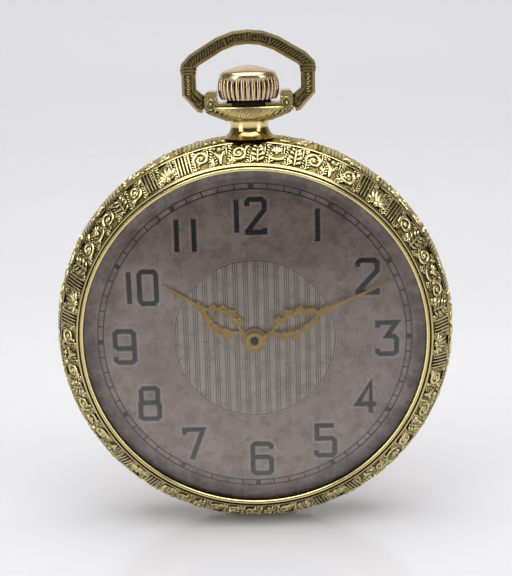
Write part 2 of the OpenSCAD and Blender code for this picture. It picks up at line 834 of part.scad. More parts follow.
module escape_wheel() {
  color("silver") at(escape_at) {
    difference() {
      translate([0, 0, escape_z]) linear_extrude(wheel_t) union() {
        circle(escape_r * 0.78);
        // Club teeth
        for (i = [0 : 14]) rotate(24 * i + to_balance + 12)
          polygon([polar(escape_r * 0.74, -5), polar(escape_r * 0.95, 3), polar(escape_r * 0.97, 2),
                   polar(escape_r, 6), polar(escape_r * 0.93, 7), polar(escape_r * 0.74, 5)]);
      }
      translate([0, 0, escape_z - 1]) linear_extrude(3) gaps(4, 0.7, escape_r * 0.62, 0.35);
    }
    gear(escape_leaves, fourth_mod, fourth_z - 0.05, fourth_z + 0.3,
         mesh_turn(320, fourth_teeth, 0, escape_leaves));
    arbor(0.22, bridge_top, plate_low);
  }
}

/* Escapement and balance */

module in_fork() {
  at(pallet_at) rotate(to_balance) children();
}

module pallet_fork() {
  reach = norm(balance_at - pallet_at) - 1.0;
  color("silver") {
    in_fork() difference() {
      translate([0, 0, escape_z]) linear_extrude(wheel_t) union() {
        hull() {
          circle(0.45);
          translate([-0.35, 1.5]) circle(0.3);
        }
        hull() {
          circle(0.45);
          translate([-0.35, -1.5]) circle(0.3);
        }
        polygon([[0, -0.3], [reach - 0.9, -0.16], [reach, -0.5], [reach, 0.5],
                 [reach - 0.9, 0.16], [0, 0.3]]);
      }
      for (s = [-1, 1]) stone(s, 0.01);
      // Notch for the impulse pin
      translate([reach - 0.45, -0.2, escape_z - 1]) cube([1, 0.4, 2]);
    }
    at(pallet_at) {
      disc(0.25, escape_z - 0.15, plate_low - 0.1);
      disc(pivot_r, escape_z - 0.6, plate_low + 0.5);
    }
  }
}

// A pallet stone, or the slot it is set in when grown.
module stone(side, grown) {
  translate([-0.35, side * 1.5, escape_z - 0.04 - grown]) rotate(side * 20)
    translate([-0.48, -0.14, 0]) cube([0.5 + grown, 0.28, wheel_t + 0.08 + 2 * grown]);
}

module pallet_stones() {
  color("crimson") in_fork() for (s = [-1, 1]) stone(s, 0);
}

module balance_wheel() {
  rim = balance_r - 0.5;
  color("gold") at(balance_at) translate([0, 0, balance_z]) difference() {
    union() {
      linear_extrude(0.5) difference() {
        circle(rim);
        circle(rim - 0.55);
      }
      linear_extrude(0.22) rotate(25) square([2 * rim - 0.6, 0.7], center = true);
      cylinder(r = 0.8, h = 0.22);
    }
    translate([0, 0, -1]) cylinder(r = 0.35, h = 3);
  }
}

module timing_screws() {
  rim = balance_r - 0.5;
  color("goldenrod") at(balance_at) translate([0, 0, balance_z + 0.25])
    for (i = [0 : 15]) rotate(22.5 * i + 13) translate([rim + 0.02, 0, 0]) rotate([0, 90, 0])
      cylinder(r = 0.24, h = 0.46);
}

module balance_staff() {
  color("silver") at(balance_at) {
    disc(0.35, bridge_top + 0.05, roller_z - 0.01);
    disc(0.25, roller_z - 0.1, plate_low - 0.12);
    disc(pivot_r, bridge_top - 0.55, plate_low + 0.5);
  }
}

module roller() {
  color("silver") at(balance_at) difference() {
    union() {
      disc(0.85, roller_z, roller_z + 0.25);
      rotate(to_balance + 180) translate([0.62, 0, roller_z + 0.2]) cylinder(r = 0.13, h = 0.3);
    }
    disc(0.25, -12, 2);
  }
}

module hairspring() {
  color("lightsteelblue") at(balance_at) translate([0, 0, bridge_top + 0.12]) difference() {
    union() {
      linear_extrude(0.2) polygon(spiral(0.8, 3.4, 8, 0.07, 240));
      cylinder(r = 0.79, h = 0.2);
    }
    translate([0, 0, -1]) cylinder(r = 0.4, h = 3);
  }
}

module hairspring_stud() {
  color("silver") at(balance_at) translate([3.44, -0.2, bridge_top]) cube([0.45, 0.4, 0.32]);
}

module regulator() {
  color("silver") at(balance_at) difference() {
    translate([0, 0, bridge_low - 0.25]) linear_extrude(0.2) union() {
      circle(1.3);
      hull() {
        translate(polar(1.0, 130)) circle(0.3);
        translate(polar(4.6, 130)) circle(0.12);
      }
      hull() {
        translate(polar(1.0, -50)) circle(0.25);
        translate(polar(2.6, -50)) circle(0.2);
      }
    }
    disc(jewel_r + run_gap, -12, 2);
  }
}

/* Jewels and fasteners */

module jewel(p, low, high) {
  color("crimson") at(p) difference() {
    disc(jewel_r, low, high);
    disc(pivot_r + run_gap, -12, 2);
  }
}

module jewels() {
  for (p = [third_at, fourth_at, escape_at]) jewel(p, bridge_low, bridge_top);
  for (p = [third_at, fourth_at, escape_at, pallet_at, balance_at]) jewel(p, plate_low, plate_top - 0.6);
  jewel(balance_at, bridge_low, bridge_top);
  color("crimson") difference() {
    disc(jewel_r, bridge_low, bridge_top);
    disc(0.35 + run_gap, -12, 2);
  }
  color("crimson") at(pallet_at) difference() {
    disc(0.5, escape_z - 0.5, escape_z - 0.2);
    disc(pivot_r + run_gap, -12, 2);
  }
}

module cap_jewel() {
  color("crimson") at(balance_at) disc(jewel_r, bridge_low - 0.3, bridge_low);
}

module screw(p, head_low, head_r, shank_r, tip) {
  color("slategray") at(p) difference() {
    union() {
      disc(head_r, head_low, head_low + 0.25);
      disc(shank_r, head_low + 0.2, tip);
    }
    translate([-head_r - 1, -0.1, head_low - 0.1]) cube([2 * head_r + 2, 0.2, 0.2]);
  }
}

module bridge_screws() {
  for (a = bridge_screw_at) screw(polar(screw_at_r, a), bridge_low - 0.25, 0.62, 0.45, bridge_top + 1.9);
}

module case_screws() {
  for (a = case_screw_at) screw(polar(case_screw_r, a), plate_low - 0.7, 1.05, 0.5, plate_top - 0.1);
}

module dial_screws() {
  for (a = dial_feet) color("slategray") rotate(a) translate([17.02, 0, plate_top - 0.9])
    rotate([0, 90, 0]) difference() {
      cylinder(r = 0.35, h = plate_r - 17.05);
      translate([-0.07, -1, plate_r - 17.25]) cube([0.14, 2, 1]);
    }
}

place() case_middle();
place() bezel();
place() crystal();
place() back_cover();
place() pendant();
place() bow();
place() crown();
place() winding_stem();
place() stem_sleeve();
place() dial();
place() minute_hand();
place() hour_hand();
place() cannon_pinion();
place() hour_wheel();
place() minute_wheel();
place() main_plate();
place() barrel_bridge();
place() train_bridge();
place() balance_cock();
place() pallet_bridge();
place() barrel();
place() barrel_cover();
place() barrel_arbor();
place() mainspring();
place() ratchet_wheel();
place() crown_wheel();
place() crown_wheel_core();
place() click();
place() click_screw();
place() click_spring();
place() winding_pinion();
place() clutch();
place() setting_lever();
place() yoke();
place() setting_wheel();
place() second_setting_wheel();
place() center_wheel();
place() third_wheel();
place() fourth_wheel();
place() escape_wheel();
place() pallet_fork();
place() pallet_stones();
place() balance_wheel();
place() timing_screws();
place() balance_staff();
place() roller();
place() hairspring();
place() hairspring_stud();
place() regulator();
place() jewels();
place() cap_jewel();
place() bridge_screws();
place() ratchet_screw();
place() case_screws();
place() dial_screws();
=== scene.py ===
"""Builds the open face pocket watch around its CAD frame.

Lengths in the helpers are millimetres in watch coordinates: x to three o'clock,
y to the crown and z out of the dial. to_row() turns them into the frame's metres.
"""
import json
import math

import bmesh
import bpy
import numpy as np
from mathutils import Matrix, Vector


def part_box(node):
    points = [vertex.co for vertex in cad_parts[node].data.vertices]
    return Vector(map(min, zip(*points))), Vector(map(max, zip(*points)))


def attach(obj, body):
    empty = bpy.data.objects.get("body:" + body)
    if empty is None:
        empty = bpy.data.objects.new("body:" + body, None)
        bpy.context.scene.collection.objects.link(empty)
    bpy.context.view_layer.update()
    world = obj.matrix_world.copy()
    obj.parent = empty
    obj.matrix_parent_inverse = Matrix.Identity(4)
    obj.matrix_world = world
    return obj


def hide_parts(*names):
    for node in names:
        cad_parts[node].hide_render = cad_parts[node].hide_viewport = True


bl_info = {
    "name": "Pocket watch",
    "version": (1, 0, 0),
    "blender": (4, 5, 0),
    "location": "View3D > Sidebar > Watch",
    "description": "Builds an open face pocket watch with engraved case and filigree hands",
    "category": "Object",
}

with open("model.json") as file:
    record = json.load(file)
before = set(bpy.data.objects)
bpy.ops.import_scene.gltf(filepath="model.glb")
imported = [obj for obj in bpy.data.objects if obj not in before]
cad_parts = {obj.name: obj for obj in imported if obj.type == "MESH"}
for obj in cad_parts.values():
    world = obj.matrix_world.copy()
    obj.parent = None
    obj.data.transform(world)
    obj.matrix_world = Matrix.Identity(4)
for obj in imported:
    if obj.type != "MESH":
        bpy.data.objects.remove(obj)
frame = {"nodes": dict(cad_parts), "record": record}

MM = 0.001
DIAL_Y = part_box("dial")[0].y
CASE_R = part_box("case_middle")[1].x / MM
STEM_Z = -((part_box("crown")[0].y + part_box("crown")[1].y) / 2 - DIAL_Y) / MM
PIVOT_Y = CASE_R + 3.25
JOIN_Z = -1.3
SNAP_Z = -4.3


def to_row(points):
    """Watch millimetres to the frame's metres."""
    p = np.asarray(points, float).reshape(-1, 3)
    return np.stack([p[:, 0] * MM, DIAL_Y - p[:, 2] * MM, p[:, 1] * MM], 1)


# Mesh helpers


def new_piece(name, verts, faces, material, body=None, angle=35, face_mats=None, nodes=(), slot=None):
    """A mesh object from watch millimetres, outward facing and smooth up to angle degrees."""
    mesh = bpy.data.meshes.new(name)
    mesh.from_pydata(to_row(verts).tolist(), [], [list(map(int, f)) for f in faces])
    for m in material if isinstance(material, (list, tuple)) else [material]:
        mesh.materials.append(m)
    if face_mats is not None:
        mesh.polygons.foreach_set("material_index", np.asarray(face_mats, np.int32))
    bm = bmesh.new()
    bm.from_mesh(mesh)
    bmesh.ops.remove_doubles(bm, verts=bm.verts, dist=1e-7)
    bmesh.ops.recalc_face_normals(bm, faces=bm.faces)
    bm.to_mesh(mesh)
    bm.free()
    mesh.shade_smooth()
    mesh.set_sharp_from_angle(angle=math.radians(angle))
    obj = bpy.data.objects.new(name, mesh)
    bpy.context.scene.collection.objects.link(obj)
    finish_piece(obj, body, nodes)
    return obj


def finish_piece(obj, body, nodes=()):
    if body:
        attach(obj, body)
    if nodes:
        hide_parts(*nodes)


class Bag:
    """Collects vertices and faces of several shells, with a material index for each."""

    def __init__(self):
        self.v, self.f, self.m, self.n = [], [], [], 0

    def add(self, verts, faces, mat=0):
        verts = np.asarray(verts, float).reshape(-1, 3)
        self.v.append(verts)
        self.f.extend([tuple(i + self.n for i in f) for f in faces])
        self.m.extend([mat] * len(faces))
        self.n += len(verts)
        return self

    def move(self, matrix):
        r, t = np.array(matrix)[:3, :3], np.array(matrix)[:3, 3]
        self.v = [v @ r.T + t for v in self.v]
        return self

    def piece(self, name, material, **kw):
        return new_piece(name, np.concatenate(self.v), self.f, material, face_mats=self.m, **kw)


def lathe(profile, steps, closed=True):
    """Verts and faces of a profile of (r, z) turned about the watch's axis."""
    p = np.asarray(profile, float)
    a = np.linspace(0, 2 * math.pi, steps, endpoint=False)
    v = np.stack([np.outer(np.sin(a), p[:, 0]), np.outer(np.cos(a), p[:, 0]),
                  np.tile(p[:, 1], (steps, 1))], 2).reshape(-1, 3)
    k, rows = len(p), len(p) if closed else len(p) - 1
    f = []
    for i in range(steps):
        j = (i + 1) % steps
        for q in range(rows):
            r = (q + 1) % k
            f.append((i * k + q, j * k + q, j * k + r, i * k + r))
    return v, f


def sweep(path, wide, high, up=(0, 0, 1), sides=10, closed=False, profile=None):
    """A bar along a path; wide lies across it and high along up. Its ends close to a point or a cap."""
    p = np.asarray(path, float)
    n = len(p)
    wide, high = np.broadcast_to(wide, n), np.broadcast_to(high, n)
    t = np.gradient(p, axis=0)
    if closed:
        t = np.roll(p, -1, 0) - np.roll(p, 1, 0)
    t /= np.maximum(np.linalg.norm(t, axis=1), 1e-9)[:, None]
    u = np.asarray(up, float)
    u = np.broadcast_to(u, p.shape)
    s = np.cross(t, u)
    s /= np.maximum(np.linalg.norm(s, axis=1), 1e-9)[:, None]
    w = np.cross(s, t)
    if profile is None:
        g = np.linspace(0, 2 * math.pi, sides, endpoint=False) + math.pi / sides
        profile = np.stack([np.cos(g), np.sin(g)], 1)
    k = len(profile)
    v = (p[:, None] + profile[None, :, 0, None] * (wide / 2)[:, None, None] * s[:, None]
         + profile[None, :, 1, None] * (high / 2)[:, None, None] * w[:, None])
    v = v.reshape(-1, 3)
    f = []
    for i in range(n if closed else n - 1):
        j = (i + 1) % n
        for q in range(k):
            r = (q + 1) % k
            f.append((i * k + q, i * k + r, j * k + r, j * k + q))
    if not closed:
        f.append(tuple(range(k))[::-1])
        f.append(tuple(range((n - 1) * k, n * k)))
    return v, f


def miters(points, closed=False):
    """At each point of a flat polyline, the way across it and how much wider the corner is."""
    p = np.asarray(points, float)
    n = len(p)
    across, grow = np.zeros((n, 2)), np.ones(n)
    for i in range(n):
        a = p[i] - p[i - 1] if closed or i > 0 else p[1] - p[0]
        b = p[(i + 1) % n] - p[i] if closed or i < n - 1 else p[-1] - p[-2]
        a, b = a / np.linalg.norm(a), b / np.linalg.norm(b)
        m = np.array([-(a + b)[1], (a + b)[0]])
        across[i] = m / max(np.linalg.norm(m), 1e-9)
        grow[i] = 1 / max(0.45, across[i] @ np.array([-a[1], a[0]]))
    return p, across, grow


def mitred(points, section, level=0.0, wide=1.0, closed=False):
    """A section of (across, out) along a flat polyline, with sharp corners; wide scales it across."""
    p, across, grow = miters(points, closed)
    section = np.asarray(section, float)
    n, k = len(p), len(section)
    wide = np.broadcast_to(wide, n)
    v = np.zeros((n, k, 3))
    v[:, :, :2] = p[:, None] + across[:, None] * (section[None, :, 0] * (grow * wide)[:, None])[:, :, None]
    v[:, :, 2] = level + section[:, 1]
    f = []
    for i in range(n if closed else n - 1):
        j = (i + 1) % n
        f += [(i * k + q, i * k + (q + 1) % k, j * k + (q + 1) % k, j * k + q) for q in range(k)]
    if not closed:
        f += [tuple(range(k))[::-1], tuple(range((n - 1) * k, n * k))]
    return v.reshape(-1, 3), f


def strip(points, width, low, high, closed=False):
    """A flat mitred stroke along a polyline, from one level to another."""
    h = width / 2
    return mitred(points, [(-h, low), (h, low), (h, high), (-h, high)], closed=closed)


def ball(at, r, squash=0.7, rings=6, sides=10):
    """A bead, flattened along z."""
    v, f = [], []
    for i in range(rings + 1):
        a = math.pi * i / rings
        for j in range(sides):
            b = 2 * math.pi * j / sides
            v.append((at[0] + r * math.sin(a) * math.cos(b), at[1] + r * math.sin(a) * math.sin(b),
                      at[2] + squash * r * math.cos(a)))
    for i in range(rings):
        for j in range(sides):
            k = (j + 1) % sides
            f.append((i * sides + j, (i + 1) * sides + j, (i + 1) * sides + k, i * sides + k))
    return v, f


# Materials


def principled(name, color, rough=0.3, metal=1.0, **values):
    mat = bpy.data.materials.new(name)
    mat.use_nodes = True
    shader = mat.node_tree.nodes["Principled BSDF"]
    shader.inputs["Base Color"].default_value = (*color, 1)
    shader.inputs["Roughness"].default_value = rough
    shader.inputs["Metallic"].default_value = metal
    for key, value in values.items():
        shader.inputs[key.replace("_", " ")].default_value = value
    return mat, mat.node_tree, shader


def add_node(tree, kind, **settings):
    node = tree.nodes.new(kind)
    for key, value in settings.items():
        if key == "inputs":
            for socket, item in value.items():
                if hasattr(item, "is_output"):
                    tree.links.new(item, node.inputs[socket])
                else:
                    node.inputs[socket].default_value = item
        else:
            setattr(node, key, value)
    return node


def mm_coords(tree, scale=(1, 1, 1)):
    """Object coordinates in millimetres."""
    coords = add_node(tree, "ShaderNodeTexCoord")
    return add_node(tree, "ShaderNodeMapping", inputs={
        "Vector": coords.outputs["Object"], "Scale": tuple(s / MM for s in scale)}).outputs[0]


def noise(tree, coords, scale, detail=4.0, rough=0.55):
    return add_node(tree, "ShaderNodeTexNoise", inputs={
        "Vector": coords, "Scale": scale, "Detail": detail, "Roughness": rough}).outputs["Fac"]


def ramp(tree, value, low, high, to_low=0.0, to_high=1.0):
    return add_node(tree, "ShaderNodeMapRange", inputs={
        "Value": value, "From Min": low, "From Max": high, "To Min": to_low,
        "To Max": to_high}).outputs[0]


def math_node(tree, op, a, b=None):
    inputs = {0: a}
    if b is not None:
        inputs[1] = b
    return add_node(tree, "ShaderNodeMath", operation=op, inputs=inputs).outputs[0]


def mix_color(tree, fac, a, b, kind="MIX"):
    node = add_node(tree, "ShaderNodeMix", data_type="RGBA", blend_type=kind)
    for socket, item in ((0, fac), (6, a), (7, b)):
        if hasattr(item, "is_output"):
            tree.links.new(item, node.inputs[socket])
        else:
            node.inputs[socket].default_value = item if socket == 0 else (*item, 1)
    return node.outputs[2]


def crevices(tree, color, dark, reach, low=0.3, high=0.85):
    """Darkens a colour where the surface is hemmed in."""
    ao = add_node(tree, "ShaderNodeAmbientOcclusion", samples=6, inputs={"Distance": reach * MM})
    return mix_color(tree, ramp(tree, ao.outputs["AO"], low, high, 1.0, 0.0), color, dark)


def metal(name, color, dark, rough=0.25, wear=0.45, grain=0.02, fine=6.0, deep=None, metallic=1.0):
    """Worn metal: tone, roughness and a fine bump follow noise, and deep gathers in its crevices."""
    mat, tree, shader = principled(name, color, rough, metallic)
    at = mm_coords(tree)
    broad, small = noise(tree, at, 0.35), noise(tree, at, fine, 6.0, 0.65)
    fac = math_node(tree, "MULTIPLY", ramp(tree, broad, 0.4, 0.75), ramp(tree, small, 0.42, 0.7, 0.2, wear))
    tone = mix_color(tree, fac, color, dark)
    if deep:
        tone = crevices(tree, tone, deep, 0.45, 0.35, 0.9)
    tree.links.new(tone, shader.inputs["Base Color"])
    tree.links.new(ramp(tree, small, 0.3, 0.75, rough * 0.8, rough * 1.5), shader.inputs["Roughness"])
    bump = add_node(tree, "ShaderNodeBump", inputs={
        "Strength": 0.25, "Distance": grain * MM, "Height": small})
    tree.links.new(bump.outputs[0], shader.inputs["Normal"])
    return mat


def ground(name, color, dark):
    """The sunk ground of an engraving: stippled, and dark beside the raised work."""
    mat, tree, shader = principled(name, color, 0.4)
    at = mm_coords(tree)
    dots = add_node(tree, "ShaderNodeTexVoronoi", inputs={"Vector": at, "Scale": 4.0}).outputs["Distance"]
    fac = math_node(tree, "MULTIPLY", ramp(tree, dots, 0.15, 0.6),
                    ramp(tree, noise(tree, at, 0.9), 0.3, 0.6, 0.3, 0.8))
    tone = crevices(tree, mix_color(tree, fac, color, dark), dark, 0.6, 0.5, 1.0)
    tree.links.new(tone, shader.inputs["Base Color"])
    bump = add_node(tree, "ShaderNodeBump", inputs={"Strength": 0.6, "Distance": 0.08 * MM, "Height": dots})
    tree.links.new(bump.outputs[0], shader.inputs["Normal"])
    return mat


def striped(name, color, dark):
    """Nickel with the broad curved stripes that movements are dressed with."""
    mat, tree, shader = principled(name, color, 0.3)
    at = mm_coords(tree)
    wave = add_node(tree, "ShaderNodeTexWave", wave_type="BANDS", bands_direction="DIAGONAL", inputs={
        "Vector": at, "Scale": 0.22, "Distortion": 1.2, "Detail": 1.0, "Detail Scale": 0.2}).outputs["Fac"]
    small = noise(tree, at, 5.0)
    fac = math_node(tree, "MULTIPLY", wave, ramp(tree, small, 0.2, 0.8, 0.5, 0.9))
    tree.links.new(mix_color(tree, fac, color, dark), shader.inputs["Base Color"])
    tree.links.new(ramp(tree, wave, 0, 1, 0.22, 0.42), shader.inputs["Roughness"])
    return mat


def glass_material(s):
    """Clear crystal: see-through with a gloss that grows towards its edge."""
    mat = bpy.data.materials.new("crystal glass")
    mat.use_nodes = True
    tree = mat.node_tree
    tree.nodes.clear()
    out = add_node(tree, "ShaderNodeOutputMaterial")
    at = mm_coords(tree)
    haze = ramp(tree, noise(tree, at, 1.2, 5.0), 0.35, 0.8, 0.02, 0.05)
    clear = add_node(tree, "ShaderNodeBsdfTransparent", inputs={"Color": (0.97, 0.975, 0.97, 1)})
    gloss = add_node(tree, "ShaderNodeBsdfAnisotropic", inputs={"Color": (1, 1, 1, 1), "Roughness": haze})
    fresnel = add_node(tree, "ShaderNodeFresnel", inputs={"IOR": 1.5})
    fac = math_node(tree, "MULTIPLY", fresnel.outputs[0], s.glass_gloss)
    mix = add_node(tree, "ShaderNodeMixShader", inputs={
        0: fac, 1: clear.outputs[0], 2: gloss.outputs[0]})
    tree.links.new(mix.outputs[0], out.inputs["Surface"])
    return mat


def ring_line(tree, r, radius, solid, faded, strength):
    """A fine circle at a radius: full strength within solid of it, gone at faded."""
    away = math_node(tree, "ABSOLUTE", math_node(tree, "SUBTRACT", r, radius))
    return ramp(tree, away, solid, faded, strength, 0.0)


def dial_material(s):
    """Silvered dial: stained and worn, with fine upright stripes inside a double ring."""
    mat, tree, shader = principled("stained dial", (0.3, 0.25, 0.23), 0.55, 0.15)
    at = mm_coords(tree)
    ring_r = s.ring_r / MM
    xyz = add_node(tree, "ShaderNodeSeparateXYZ", inputs={0: at})
    x, z = xyz.outputs[0], xyz.outputs[2]
    squares = math_node(tree, "ADD", math_node(tree, "POWER", x, 2.0), math_node(tree, "POWER", z, 2.0))
    r = math_node(tree, "SQRT", squares)
    broad, mid, small = noise(tree, at, 0.16, 5.0), noise(tree, at, 0.75, 6.0, 0.65), noise(tree, at, 6.0,
            4.0)
    base = mix_color(tree, ramp(tree, broad, 0.35, 0.68), (0.7, 0.5, 0.44), (0.9, 0.73, 0.66))
    base = mix_color(tree, ramp(tree, mid, 0.48, 0.64, 0, 0.6), base, (0.42, 0.27, 0.21))
    spots = noise(tree, at, 1.6, 8.0, 0.75)
    base = mix_color(tree, ramp(tree, spots, 0.56, 0.64, 0, 0.55), base, (0.28, 0.16, 0.12))
    base = mix_color(tree, ramp(tree, spots, 0.36, 0.44, 0.4, 0.0), base, (1.0, 0.87, 0.8))
    edge = math_node(tree, "MULTIPLY", ramp(tree, r, 14.5, 19.0),
                     ramp(tree, noise(tree, at, 0.4, 5.0), 0.42, 0.62))
    base = mix_color(tree, math_node(tree, "MULTIPLY", edge, 0.8), base, (0.2, 0.12, 0.085))
    # Stripes: a broad band and a group of fine lines, over and over
    wide = math_node(tree, "SINE", math_node(tree, "MULTIPLY", x, 2 * math.pi / (s.stripe_pitch / MM)))
    thin = math_node(tree, "SINE", math_node(tree, "MULTIPLY", x, 2 * math.pi / (s.stripe_pitch / MM / 5)))
    group = math_node(tree, "MULTIPLY", ramp(tree, wide, -0.2, 0.15), ramp(tree, thin, -0.3, 0.4))
    inner = mix_color(tree, group, (1.0, 0.88, 0.74), (0.3, 0.22, 0.17))
    inner = mix_color(tree, ramp(tree, mid, 0.48, 0.72, 0, 0.65), inner, (0.34, 0.26, 0.22))
    inside = ramp(tree, r, ring_r - 0.04, ring_r, 1.0, 0.0)
    base = mix_color(tree, math_node(tree, "MULTIPLY", inside, 0.9), base, inner)
    base = mix_color(tree, ring_line(tree, r, ring_r + 0.08, 0.03, 0.09, 0.75), base, (0.1, 0.075, 0.065))
    base = mix_color(tree, ring_line(tree, r, ring_r + 0.19, 0.03, 0.08, 0.8), base, (1.0, 0.9, 0.8))
    base = mix_color(tree, ring_line(tree, r, ring_r + 0.3, 0.02, 0.07, 0.45), base, (0.13, 0.1, 0.09))
    specks = ramp(tree, noise(tree, at, 2.6, 2.0), 0.66, 0.72, 0, 0.6)
    base = mix_color(tree, specks, base, (0.09, 0.06, 0.05))
    base = mix_color(tree, ramp(tree, small, 0.35, 0.7, 0, 0.3), base, (0.6, 0.52, 0.47))
    tree.links.new(base, shader.inputs["Base Color"])
    tree.links.new(ramp(tree, mid, 0.3, 0.7, 0.42, 0.66), shader.inputs["Roughness"])
    height = math_node(tree, "ADD", math_node(tree, "MULTIPLY", group, inside), small)
    bump = add_node(tree, "ShaderNodeBump", inputs={"Strength": 0.3, "Distance": 0.03 * MM,
                                                    "Height": height})
    tree.links.new(bump.outputs[0], shader.inputs["Normal"])
    return mat


def print_material(name, color, under, keep):
    """Printed marks, worn through to the dial in places."""
    mat, tree, shader = principled(name, color, 0.5, 0.1)
    at = mm_coords(tree)
    worn = ramp(tree, noise(tree, at, 0.55, 6.0, 0.7), keep, keep + 0.1)
    fine = ramp(tree, noise(tree, at, 4.0, 4.0), 0.45, 0.6, 0, 0.35)
    fac = math_node(tree, "MAXIMUM", worn, fine)
    tree.links.new(mix_color(tree, fac, color, under), shader.inputs["Base Color"])
    tree.links.new(ramp(tree, worn, 0, 1, 0.45, 0.6), shader.inputs["Roughness"])
    return mat


def band_material(gold, olive, brown):
    """Gold case middle whose engraved band, towards the dial, is dark between the leaves."""
    mat, tree, shader = principled("case band gold", gold, 0.25)
    at = mm_coords(tree)
    y = add_node(tree, "ShaderNodeSeparateXYZ", inputs={0: at}).outputs[1]
    face = DIAL_Y / MM
    start = ramp(tree, y, face - JOIN_Z + 0.1, face - JOIN_Z + 0.14)
    stop = ramp(tree, y, face - SNAP_Z - 0.2, face - SNAP_Z - 0.16, 1.0, 0.0)
    dots = add_node(tree, "ShaderNodeTexVoronoi", inputs={"Vector": at, "Scale": 4.0}).outputs["Distance"]
    band = math_node(tree, "MULTIPLY", math_node(tree, "MULTIPLY", start, stop),
                     ramp(tree, dots, 0.0, 0.5, 0.35, 0.9))
    small = noise(tree, at, 6.0, 6.0, 0.65)
    base = mix_color(tree, ramp(tree, small, 0.45, 0.75, 0, 0.4), gold, olive)
    base = crevices(tree, mix_color(tree, band, base, olive), brown, 0.35)
    tree.links.new(base, shader.inputs["Base Color"])
    tree.links.new(ramp(tree, band, 0, 1, 0.24, 0.42), shader.inputs["Roughness"])
    return mat


def pendant_material(gold, olive, brown):
    """Polished neck below, duller and darker carved collar above."""
    mat, tree, shader = principled("pendant gold", gold, 0.2)
    at = mm_coords(tree)
    z = add_node(tree, "ShaderNodeSeparateXYZ", inputs={0: at}).outputs[2]
    small = noise(tree, at, 5.0, 6.0, 0.65)
    collar = ramp(tree, z, PIVOT_Y - 2.1, PIVOT_Y - 1.5)
    worn = math_node(tree, "MULTIPLY", collar, ramp(tree, small, 0.38, 0.65, 0.15, 0.85))
    base = crevices(tree, mix_color(tree, worn, gold, olive), brown, 0.5)
    tree.links.new(base, shader.inputs["Base Color"])
    tree.links.new(ramp(tree, worn, 0, 1, 0.14, 0.36), shader.inputs["Roughness"])
    bump = add_node(tree, "ShaderNodeBump", inputs={"Strength": 0.3, "Distance": 0.03 * MM, "Height": worn})
    tree.links.new(bump.outputs[0], shader.inputs["Normal"])
    return mat


def make_materials():
    s = bpy.context.scene.watch
    gold, olive, brown = (0.84, 0.70, 0.34), (0.36, 0.27, 0.08), (0.022, 0.015, 0.006)
    return {
        "gold": metal("worn gold", gold, olive, 0.2, deep=brown),
        "relief": metal("raised gold", (0.76, 0.65, 0.33), olive, 0.26, 0.75, 0.03, 9.0, brown),
        "ground": ground("engraved ground", (0.4, 0.3, 0.11), brown),
        "dark gold": metal("patinated gold", (0.6, 0.49, 0.22), (0.14, 0.1, 0.035), 0.26, 0.95, deep=brown),
        "bow gold": metal("bow gold", (0.46, 0.37, 0.16), (0.06, 0.04, 0.014), 0.24, 1.0, deep=brown),
        "neck gold": metal("polished neck gold", (0.5, 0.37, 0.15), (0.05, 0.025, 0.012), 0.12, 1.3),
        "band": band_material(gold, olive, brown),
        "pendant": pendant_material(gold, olive, brown),
        "back": metal("back cover gold", gold, olive, 0.18, 0.3, 0.01, 3.0),
        "crown gold": metal("crown gold", (0.74, 0.57, 0.35), (0.26, 0.17, 0.08), 0.22, 0.7, deep=brown),
        "hand": metal("hand gold", (0.95, 0.6, 0.12), (0.7, 0.4, 0.07), 0.4, 0.6, metallic=0.35),
        "steel": metal("polished steel", (0.6, 0.6, 0.61), (0.35, 0.34, 0.33), 0.25),
        "blue": metal("blued steel", (0.08, 0.11, 0.24), (0.03, 0.035, 0.06), 0.28),
        "gilt": metal("gilt brass", (0.75, 0.55, 0.24), (0.42, 0.29, 0.12), 0.3),
        "nickel": striped("striped nickel", (0.62, 0.61, 0.57), (0.4, 0.39, 0.36)),
        "ruby": metal("ruby", (0.55, 0.02, 0.08), (0.3, 0.01, 0.04), 0.12, 0.3, 0.001),
        "glass": glass_material(s),
        "dial": dial_material(s),
        "pale": print_material("embossed edge", (1.0, 0.88, 0.8), (0.6, 0.48, 0.42), 0.6),
        "numerals": print_material("numeral print", (0.006, 0.006, 0.009), (0.16, 0.12, 0.11), 0.64),
        "track": print_material("track print", (0.014, 0.009, 0.008), (0.24, 0.16, 0.13), 0.64),
        # Near-black painted shade: it fills the collar's well, the gap under the crown and the hands' centre
        "hole": metal("painted shade", (0.03, 0.027, 0.025), (0.01, 0.01, 0.01), 0.6, 0.5),
    }


MATS = {}


# Geometry Nodes


